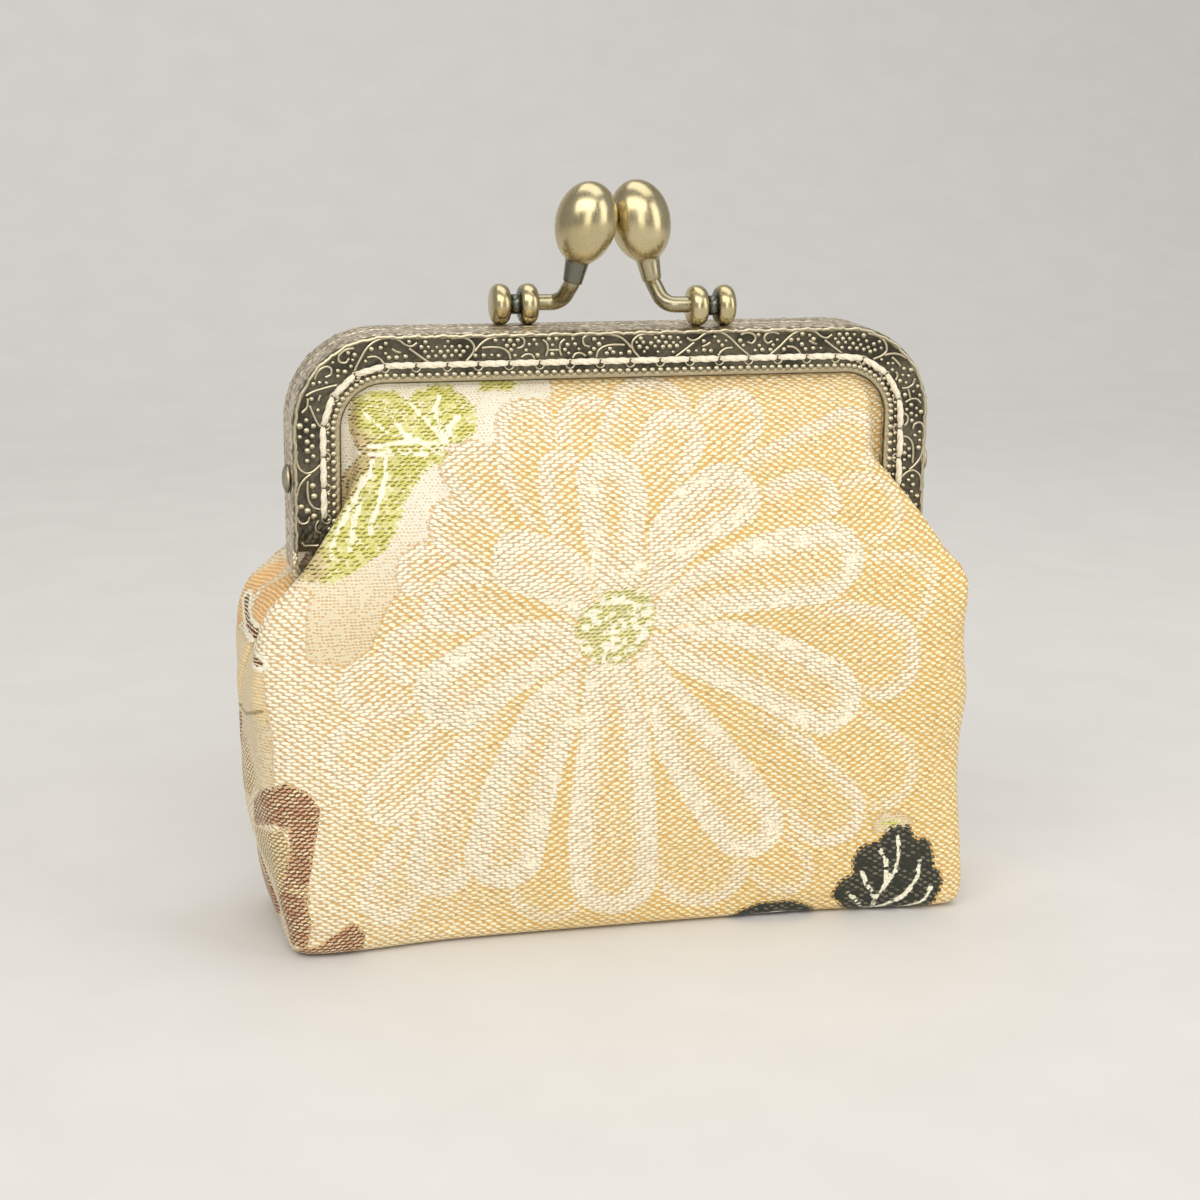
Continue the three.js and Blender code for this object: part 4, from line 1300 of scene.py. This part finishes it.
# the bar in the middle of each motif, and the part of the frame that the motif fills
MOTIFS = (
    (-60.3, -59.4, -41), (-63.9, -41, -36.4), (-8.9, -36.4, 18.6), (46.1, 18.6, 38.5), (42, 38.5, 59.4),
)
SCROLL_TOP, SCROLL_STRETCH, MOTIF_TOP = 0.52, 1.06, 0.98
SHORTEST_LINE = 4
SCROLL_WIRE = 0.19
RIM_WIRE = 0.25
RIM_INSET = 0.46
RIM_END, RIM_STEP = 0.2, 0.35
# height, turn for each millimetre and phase of the rim's small swerves
RIM_SWAYS = ((0.07, 1.7, 0), (0.06, 3.9, 1), (0.04, 7.7, 0))
# a part of the frame, and the spacing and radius of its dots
DOT_PARTS = ((-59.4, -42.5, 1.28, 0.46), (-42.5, 46, 1.0, 0.35), (46, 59.4, 1.1, 0.38))
BAND_TOP = 1.12
BAND_BOTTOM = 3.45
DOT_ROW_SHARE = 0.62
DOT_JITTER, DOT_SIZES = 0.10, (0.78, 1.2)
DOT_CLEARANCE, MISSING_DOTS = 0.11, 0.08


def running_scroll():
    """The motif, mirrored again and again, as distances along the frame and in from its edge."""
    lines = []
    for middle, first, last in MOTIFS:
        for direction in (-1, 1):
            for line in SCROLL_MOTIF:
                smooth = curve_through(line, 6)
                smooth[:, 0] = middle + direction * smooth[:, 0]
                smooth[:, 1] = SCROLL_TOP + SCROLL_STRETCH * (smooth[:, 1] - MOTIF_TOP)
                kept = smooth[(smooth[:, 0] > first) & (smooth[:, 0] < last)]
                if len(kept) > SHORTEST_LINE:
                    lines.append(kept)
    return lines


def rim_line():
    along = np.arange(-FLANGE_END + RIM_END, FLANGE_END - RIM_END, RIM_STEP)
    sway = sum(height * np.sin(along * rate + phase) for height, rate, phase in RIM_SWAYS)
    return np.column_stack([along, RIM_INSET + sway])


def dots_between(lines):
    jitter = np.random.default_rng(7)
    chosen = []
    for first, last, spacing, size in DOT_PARTS:
        for number, inset in enumerate(np.arange(BAND_TOP, BAND_BOTTOM, spacing * DOT_ROW_SHARE)):
            for along in np.arange(first + number % 2 * spacing / 2, last, spacing):
                moved = np.array([along, inset]) + jitter.uniform(-DOT_JITTER, DOT_JITTER, 2)
                radius = size * jitter.uniform(*DOT_SIZES)
                gap = min(float(line_distance(moved[:1], moved[1:], line)[0]) for line in lines)
                if gap > size + DOT_CLEARANCE and jitter.uniform() > MISSING_DOTS:
                    chosen.append((*moved, radius))
    return np.array(chosen)


scroll_lines = running_scroll()
scroll_dots = dots_between(scroll_lines)
print("scroll lines", len(scroll_lines), "dots", len(scroll_dots))

# %% Lay scrolls, dots and the beaded edge on both halves
BEAD_INSET = 5.30
BEAD_PITCH = 1.08
BEAD_RADIUS = 0.46
SIDE_DOT_INSET = 4.60
SIDE_DOT_PITCH = 1.12
SIDE_DOT_RADIUS = 0.32
LINE_LIFT, DOT_SINK, BEAD_SINK = 0.02, 0.08, 0.10
DOT_HEIGHT = 0.85


def ornament(name, facing):
    lines = [*scroll_lines, rim_line()]
    radii = [SCROLL_WIRE] * len(scroll_lines) + [RIM_WIRE]
    laid = [on_frame(line[:, 0], line[:, 1], HALF_DEPTH + LINE_LIFT, facing) for line in lines]
    scrolls = wires(name + "_scrolls", laid, radii, 8, scroll_brass)
    edge = np.arange(-FLANGE_END + 0.6, FLANGE_END - 0.4, BEAD_PITCH)
    leg = np.arange(CORNER_X + 1, FLANGE_END - 1, SIDE_DOT_PITCH)
    sides = np.concatenate([-leg, leg])
    places = [
        on_frame(scroll_dots[:, 0], scroll_dots[:, 1], HALF_DEPTH - DOT_SINK, facing),
        on_frame(edge, BEAD_INSET, HALF_DEPTH - BEAD_SINK, facing),
        on_frame(sides, SIDE_DOT_INSET, HALF_DEPTH - DOT_SINK, facing),
    ]
    sizes = [scroll_dots[:, 2], np.full(len(edge), BEAD_RADIUS), np.full(len(sides), SIDE_DOT_RADIUS)]
    dots = beads(name + "_dots", np.vstack(places), np.concatenate(sizes), DOT_HEIGHT, 2, scroll_brass)
    return mark_up_facing_for_painted_light(scrolls), mark_up_facing_for_painted_light(dots)


frame_front_ornament = ornament("frame_front", -1)
frame_back_ornament = ornament("frame_back", 1)

# %% [markdown]
# ## Stitches
#
# A thick cream thread holds the cloth in the channel. It comes out of one ringed hole, lies on the
# face and goes in at the next. A single tube would look like wire, so each stitch is three strands
# that twist round each other, drawn as lines and swelled by the wire tree.

# %% Material of the thread, then thread and hole rings
STITCH_PITCH = 3.98
STITCH_START = 1.25
STITCH_INSET = 3.96
STRANDS = 3
STRAND_RADIUS = 0.25
STRAND_OFFSET = 0.20
STRAND_TAPER = 0.4
STITCH_TWISTS = 0.9
STITCH_POINTS = 13
STITCH_LIFT, STITCH_DIVE = 0.34, 0.95
HOLES_EACH_WAY = 14
HOLE_RING_RADIUS, HOLE_RING_DROP, HOLE_RING_WIRE = 0.58, 0.32, 0.14
THREAD_CREAM = (0.97, 0.92, 0.77)
THREAD_SHADE = (0.84, 0.74, 0.54)


def cotton_thread():
    finish = Finish("cotton_thread")
    fibres = finish.noise(finish.place_on_piece(), 3000, 3)
    finish.shade(Base_Color=finish.mix(fibres.ramp(0.3, 0.7), THREAD_SHADE, THREAD_CREAM))
    finish.shade(Roughness=0.75, Sheen_Weight=0.3)
    finish.relief(fibres, 0.00005, 0.7)
    return finish.material


def stitch_holes():
    """Distances along the guide of the holes, spaced evenly along the stitch line itself."""
    fine = np.linspace(-FLANGE_END, FLANGE_END, 2000)
    walked = lengths_along(on_frame(fine, STITCH_INSET, 0.0, 1))
    walked -= np.interp(0.0, fine, walked)
    marks = STITCH_START + STITCH_PITCH * np.arange(-HOLES_EACH_WAY, HOLES_EACH_WAY)
    return np.interp(marks, walked, fine)


def stitch_strands(start, end, facing):
    share = np.linspace(0, 1, STITCH_POINTS)
    from_middle = np.abs(2 * share - 1)
    height = HALF_DEPTH + STITCH_LIFT - STITCH_DIVE * from_middle**6
    offset = STRAND_OFFSET * (1 - 0.5 * from_middle**4)
    ends = [on_frame(mark, STITCH_INSET, 0, facing) for mark in (start, end)]
    straight = np.linspace(*ends, STITCH_POINTS)
    heading = (straight[-1] - straight[0]) / np.linalg.norm(straight[-1] - straight[0])
    beside = np.cross(heading, (0, 1, 0))
    strands = []
    for strand in range(STRANDS):
        angle = 2 * math.pi * (STITCH_TWISTS * share + strand / STRANDS)
        line = straight + np.outer(offset * np.cos(angle), beside)
        line[:, 1] = facing * (height + offset * np.sin(angle))
        strands.append(line)
    return strands


def hole_ring(mark, facing):
    angle = np.linspace(0, 2 * math.pi, 15)
    along = mark + HOLE_RING_RADIUS * np.cos(angle)
    inset = STITCH_INSET + HOLE_RING_DROP + HOLE_RING_RADIUS * np.sin(angle)
    return on_frame(along, inset, HALF_DEPTH + LINE_LIFT, facing)


thread_cotton = cotton_thread()
hole_marks = stitch_holes()
threads, hole_rings = [], []
for label, facing in (("front", -1), ("back", 1)):
    strands = []
    for start, end in zip(hole_marks, hole_marks[1:]):
        strands += stitch_strands(start, end, facing)
    taper = STRAND_RADIUS * (1 - STRAND_TAPER * np.linspace(-1, 1, STITCH_POINTS) ** 4)
    threads.append(wires("stitches_" + label, strands, [taper] * len(strands), 7, thread_cotton))
    rings = [hole_ring(mark, facing) for mark in hole_marks]
    ring_piece = wires("hole_rings_" + label, rings, [HOLE_RING_WIRE] * len(rings), 6, scroll_brass)
    hole_rings.append(mark_up_facing_for_painted_light(ring_piece))

# %% [markdown]
# ## The clasp
#
# Each half carries a post of two rounded rings, a bent wire and an egg-shaped head. They are turned
# pieces, so their profiles are spun about an axis. The right clasp is the left one turned half round,
# which is why the two heads cross and snap past each other.

# %% Spin a profile about an axis
def turned(profile, foot, direction, sides=48):
    direction = np.asarray(direction, float) / np.linalg.norm(direction)
    helper = np.array([0, 0, 1.0]) if abs(direction[2]) < 0.9 else np.array([1.0, 0, 0])
    first = np.cross(direction, helper)
    first /= np.linalg.norm(first)
    second = np.cross(direction, first)
    angle = np.linspace(0, 2 * math.pi, sides, endpoint=False)
    circle = np.outer(np.cos(angle), first) + np.outer(np.sin(angle), second)
    along, radius = np.asarray(profile, float).T
    rings = foot + along[:, None, None] * direction + radius[:, None, None] * circle[None]
    points = [*rings.reshape(-1, 3), foot + along[0] * direction, foot + along[-1] * direction]
    index = np.arange(len(profile) * sides).reshape(len(profile), sides)
    after = np.roll(index, -1, axis=1)
    faces = tube_faces(index)
    bottom, top = len(profile) * sides, len(profile) * sides + 1
    faces += [[bottom, after[0, i], index[0, i]] for i in range(sides)]
    faces += [[top, index[-1, i], after[-1, i]] for i in range(sides)]
    return np.array(points), faces


def half_turned(points):
    return points * np.array([-1.0, -1.0, 1.0])


# %% Heads, posts and wires of the clasp
HEAD_FOOT = np.array([-5.5, -0.7, 5.65 + FRAME_TOP])
HEAD_TIP = np.array([-2.85, -1.95, 18.75 + FRAME_TOP])
EGG_MIDDLE, EGG_RADIUS, EGG_BELOW, EGG_ABOVE = 8.0, 3.97, 5.6, 5.2
COLLAR_PROFILE = (
    (0.0, 1.02), (0.0, 1.16), (0.05, 1.23), (0.12, 1.26), (1.2, 1.37), (2.4, 1.50), (2.75, 1.56),
)
POST_INNER_END = 9.4
POST_RING_RADIUS, POST_RING_WIDTH, POST_NECK_RADIUS, POST_NECK_LENGTH = 2.68, 2.55, 1.4, 1.2
POST_AXIS = np.array([0, 2.5, 2.62 + FRAME_TOP])
POST_ROUNDNESS = 0.55
POST_END_RADII = (0.6, 0.3)
STEM_RADIUS = 1.05
STEM_POINTS = (
    (-11.2, 2.5, 2.8), (-8.9, 2.5, 2.8), (-7.2, 2.2, 2.88), (-6.3, 1.3, 3.5), (-5.8, 0.2, 4.7),
    (-5.5, -0.67, 5.7), (-5.06, -0.88, 7.85),
)


def head_profile():
    along = EGG_MIDDLE - EGG_BELOW * np.cos(np.linspace(math.radians(27), math.pi / 2, 18))
    lower = [(a, EGG_RADIUS * math.sqrt(1 - ((a - EGG_MIDDLE) / EGG_BELOW) ** 2)) for a in along]
    rise = np.linspace(0, math.radians(87), 18)[1:]
    upper = [(EGG_MIDDLE + EGG_ABOVE * math.sin(a), EGG_RADIUS * math.cos(a)) for a in rise]
    return [*COLLAR_PROFILE, *lower, *upper]


def post_profile():
    def ring(start, first, last):
        angle = np.linspace(0, math.pi, 17)
        half = POST_RING_WIDTH / 2
        across = start + half - half * np.cos(angle)
        foot = np.linspace(first, last, 17)
        return list(zip(across, foot + (POST_RING_RADIUS - foot) * np.sin(angle) ** POST_ROUNDNESS))

    neck = POST_NECK_RADIUS - 0.1
    inner, outer = POST_END_RADII
    return [*ring(0.0, inner, neck), *ring(POST_RING_WIDTH + POST_NECK_LENGTH, neck, outer)]


# %% Leave patina in the recesses of the clasp, paint shade at the feet of the posts, and make both sides
COLLAR_ENDS = (2.7, 3.3)
NECK_REACH, NECK_PATINA = (0.6, 0.9), 0.9
# the foot of each post, where it sits on the frame, is darkened: partly patina, partly painted contact
# shade
FOOT_LEVELS, FOOT_PATINA_AND_SHADE = (FRAME_TOP + 0.2, FRAME_TOP + 0.9), 0.3
STEM_PATINA = 0.45


def fade_out(values, full, none):
    """One up to the first value, then falling to zero at the second."""
    return step_up(-values, -none, -full)


def store_patina_and_shade(piece, values):
    """Store how far each point of a piece is darkened towards blue-green: oxide left on the metal, and
    painted shade at the feet of the posts.
    """
    store(piece.data, "recess", values)
    return piece


def head_patina(points):
    along = (points - HEAD_FOOT) @ (HEAD_TIP - HEAD_FOOT) / np.linalg.norm(HEAD_TIP - HEAD_FOOT)
    return fade_out(along, *COLLAR_ENDS)


def post_patina_and_foot_shade(points):
    from_neck = np.abs(points[:, 0] + POST_INNER_END + POST_RING_WIDTH + POST_NECK_LENGTH / 2)
    near_neck = NECK_PATINA * fade_out(from_neck, *NECK_REACH)
    return np.maximum(near_neck, FOOT_PATINA_AND_SHADE * fade_out(points[:, 2], *FOOT_LEVELS))


clasp_pieces = {}
head = turned(head_profile(), HEAD_FOOT, HEAD_TIP - HEAD_FOOT)
post = turned(post_profile(), POST_AXIS - (POST_INNER_END, 0, 0), (-1, 0, 0), 40)
stem = curve_through(np.array(STEM_POINTS) + (0, 0, FRAME_TOP), 10)
# the left collar keeps more patina; the right one keeps less, so it is lighter as a painted highlight
for side, turn, collar_patina_with_painted_light in (("left", lambda points: points, 0.85), ("right", half_turned, 0.35)):
    made_head = joined_mesh("head_" + side, [(turn(head[0]), head[1])], clasp_brass)
    made_post = joined_mesh("post_" + side, [(turn(post[0]), post[1])], clasp_brass)
    clasp_pieces["clasp_head_" + side] = store_patina_and_shade(made_head, collar_patina_with_painted_light * head_patina(head[0]))
    clasp_pieces["clasp_post_" + side] = store_patina_and_shade(made_post, post_patina_and_foot_shade(post[0]))
    made_stem = wires("stem_" + side, [turn(stem)], [STEM_RADIUS], 24, clasp_brass)
    stem_patina = np.full(len(made_stem.data.vertices), STEM_PATINA)
    clasp_pieces["clasp_stem_" + side] = store_patina_and_shade(made_stem, stem_patina)
print("clasp:", ", ".join(clasp_pieces))

# %% [markdown]
# ## Hinge rivets
#
# A domed rivet at each side lets the halves open. It is a small turned piece, like the heads.

# %% Make the rivets
HINGE_HEIGHT, HINGE_DEPTH = 61.5, 2.2
RIVET_FOOT = FRAME_WIDTH / 2 - 2.3
RIVET_PROFILE = (
    (0.0, 0.6), (0.0, 1.3), (0.5, 1.3), (0.5, 0.7), (2.45, 0.7), (2.45, 1.8), (2.55, 1.88),
    (2.75, 1.82), (2.98, 1.5), (3.15, 1.0), (3.23, 0.5),
)
rivet_pieces = {}
for side, sign in (("left", -1), ("right", 1)):
    foot = np.array([sign * RIVET_FOOT, -HINGE_DEPTH, HINGE_HEIGHT])
    points, faces = turned(RIVET_PROFILE, foot, (sign, 0, 0), 32)
    rivet = joined_mesh("rivet_" + side, [(points, faces)], rivet_brass)
    rivet_pieces["hinge_rivet_" + side] = mark_up_facing_for_painted_light(rivet)
    print("hinge_rivet_" + side, len(faces), "faces")

# %% [markdown]
# ## What each piece stands for
#
# Every piece rides on the one body of the purse, and the imported node that it replaces is hidden.


def belongs(piece, slot, *nodes):
    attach(piece, "root")
    if nodes:
        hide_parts(*nodes)


belongs(pouch_front, "cloth", "pouch_front")
belongs(pouch_back, "cloth", "pouch_back")
belongs(frame_front, "frame_metal", "frame_front")
belongs(frame_back, "frame_metal", "frame_back")
for piece in (*frame_front_ornament, *frame_back_ornament, *hole_rings):
    belongs(piece, "frame_metal")
for piece in threads:
    belongs(piece, "cloth")
for node, piece in clasp_pieces.items():
    belongs(piece, "clasp_metal", node)
for node, piece in rivet_pieces.items():
    belongs(piece, "rivet_metal", node)

# %% [markdown]
# ## Floor, light and camera
#
# A pale floor and large soft lights show the cloth evenly and give the brass broad reflections. The
# camera stands in front, a little to the left and above, with a long lens.

# %% Set the stage
CAMERA_PLACE = (-0.07296, -0.29099, 0.11648)
CAMERA_YAW, CAMERA_PITCH, CAMERA_ROLL = (math.radians(a) for a in (13.858, 13.746, 0.662))
CAMERA_LENS = 69.11
FLOOR_REACH = 1.6
BEND_START, BEND_RADIUS, WALL_HEIGHT = 0.35, 0.45, 1.8
FLOOR_GREYS = ((0.72, 0.71, 0.69), (0.74, 0.73, 0.71))
LIGHT_TARGET = (0, 0, 0.05)
# name, place, width and height, power, colour
LIGHTS = (
    ("key", (-0.25, -0.55, 0.60), (1.1, 0.45), 4.0, (1.0, 0.96, 0.90)),
    ("fill", (0.60, -0.45, 0.22), (0.35, 0.8), 1.7, (1.0, 0.97, 0.93)),
    ("front", (-0.12, -0.80, 0.16), (0.3, 0.5), 0.9, (1.0, 0.97, 0.92)),
    ("top", (0.10, 0.10, 0.75), (0.9, 0.5), 2.2, (1.0, 0.98, 0.95)),
)
ROOM_GREY, ROOM_STRENGTH = (0.95, 0.95, 0.95, 1), 0.4


def pale_floor():
    finish = Finish("pale_floor")
    grain = finish.noise(finish.place_on_piece(), 60, 2)
    finish.shade(Base_Color=finish.mix(grain.ramp(0.3, 0.7), *FLOOR_GREYS), Roughness=0.8)
    angle = np.linspace(0, math.pi / 2, 17)
    wall = BEND_START + BEND_RADIUS
    depth = np.concatenate([[-FLOOR_REACH], BEND_START + BEND_RADIUS * np.sin(angle), [wall]])
    rise = np.concatenate([[0], BEND_RADIUS * (1 - np.cos(angle)), [WALL_HEIGHT]])
    points = [(side * FLOOR_REACH, y, z) for y, z in zip(depth, rise) for side in (-1, 1)]
    floor = mesh_object("floor", np.array(points) / MM, grid_faces(len(depth), 2), finish.material)


def soft_light(name, place, size, energy, colour):
    data = bpy.data.lights.new(name, "AREA")
    data.shape = "RECTANGLE"
    data.size, data.size_y = size
    data.energy = energy
    data.color = colour
    light = placed(name, data)
    light.location = place
    light.rotation_euler = (Vector(LIGHT_TARGET) - Vector(place)).to_track_quat("-Z", "Y").to_euler()


def photo_camera():
    right = Vector((math.cos(CAMERA_YAW), -math.sin(CAMERA_YAW), 0))
    level = math.cos(CAMERA_PITCH)
    ahead = Vector((math.sin(CAMERA_YAW) * level, math.cos(CAMERA_YAW) * level, -math.sin(CAMERA_PITCH)))
    up = right.cross(ahead)
    rolled_right = right * math.cos(CAMERA_ROLL) + up * math.sin(CAMERA_ROLL)
    rolled_up = up * math.cos(CAMERA_ROLL) - right * math.sin(CAMERA_ROLL)
    data = bpy.data.cameras.new("camera")
    data.lens = CAMERA_LENS
    data.sensor_width = 36.0
    data.clip_start = 0.01
    camera = placed("camera", data)
    turn = Matrix((rolled_right, rolled_up, -ahead)).transposed()
    camera.matrix_world = Matrix.Translation(CAMERA_PLACE) @ turn.to_4x4()
    bpy.context.scene.camera = camera


pale_floor()
for light in LIGHTS:
    soft_light(*light)
world = bpy.data.worlds.new("studio")
world.use_nodes = True
room = world.node_tree.nodes["Background"]
room.inputs["Color"].default_value = ROOM_GREY
room.inputs["Strength"].default_value = ROOM_STRENGTH
bpy.context.scene.world = world
bpy.context.scene.view_settings.view_transform = "Standard"
photo_camera()
print("lights:", ", ".join(light[0] for light in LIGHTS), "with a lens of", CAMERA_LENS, "mm")
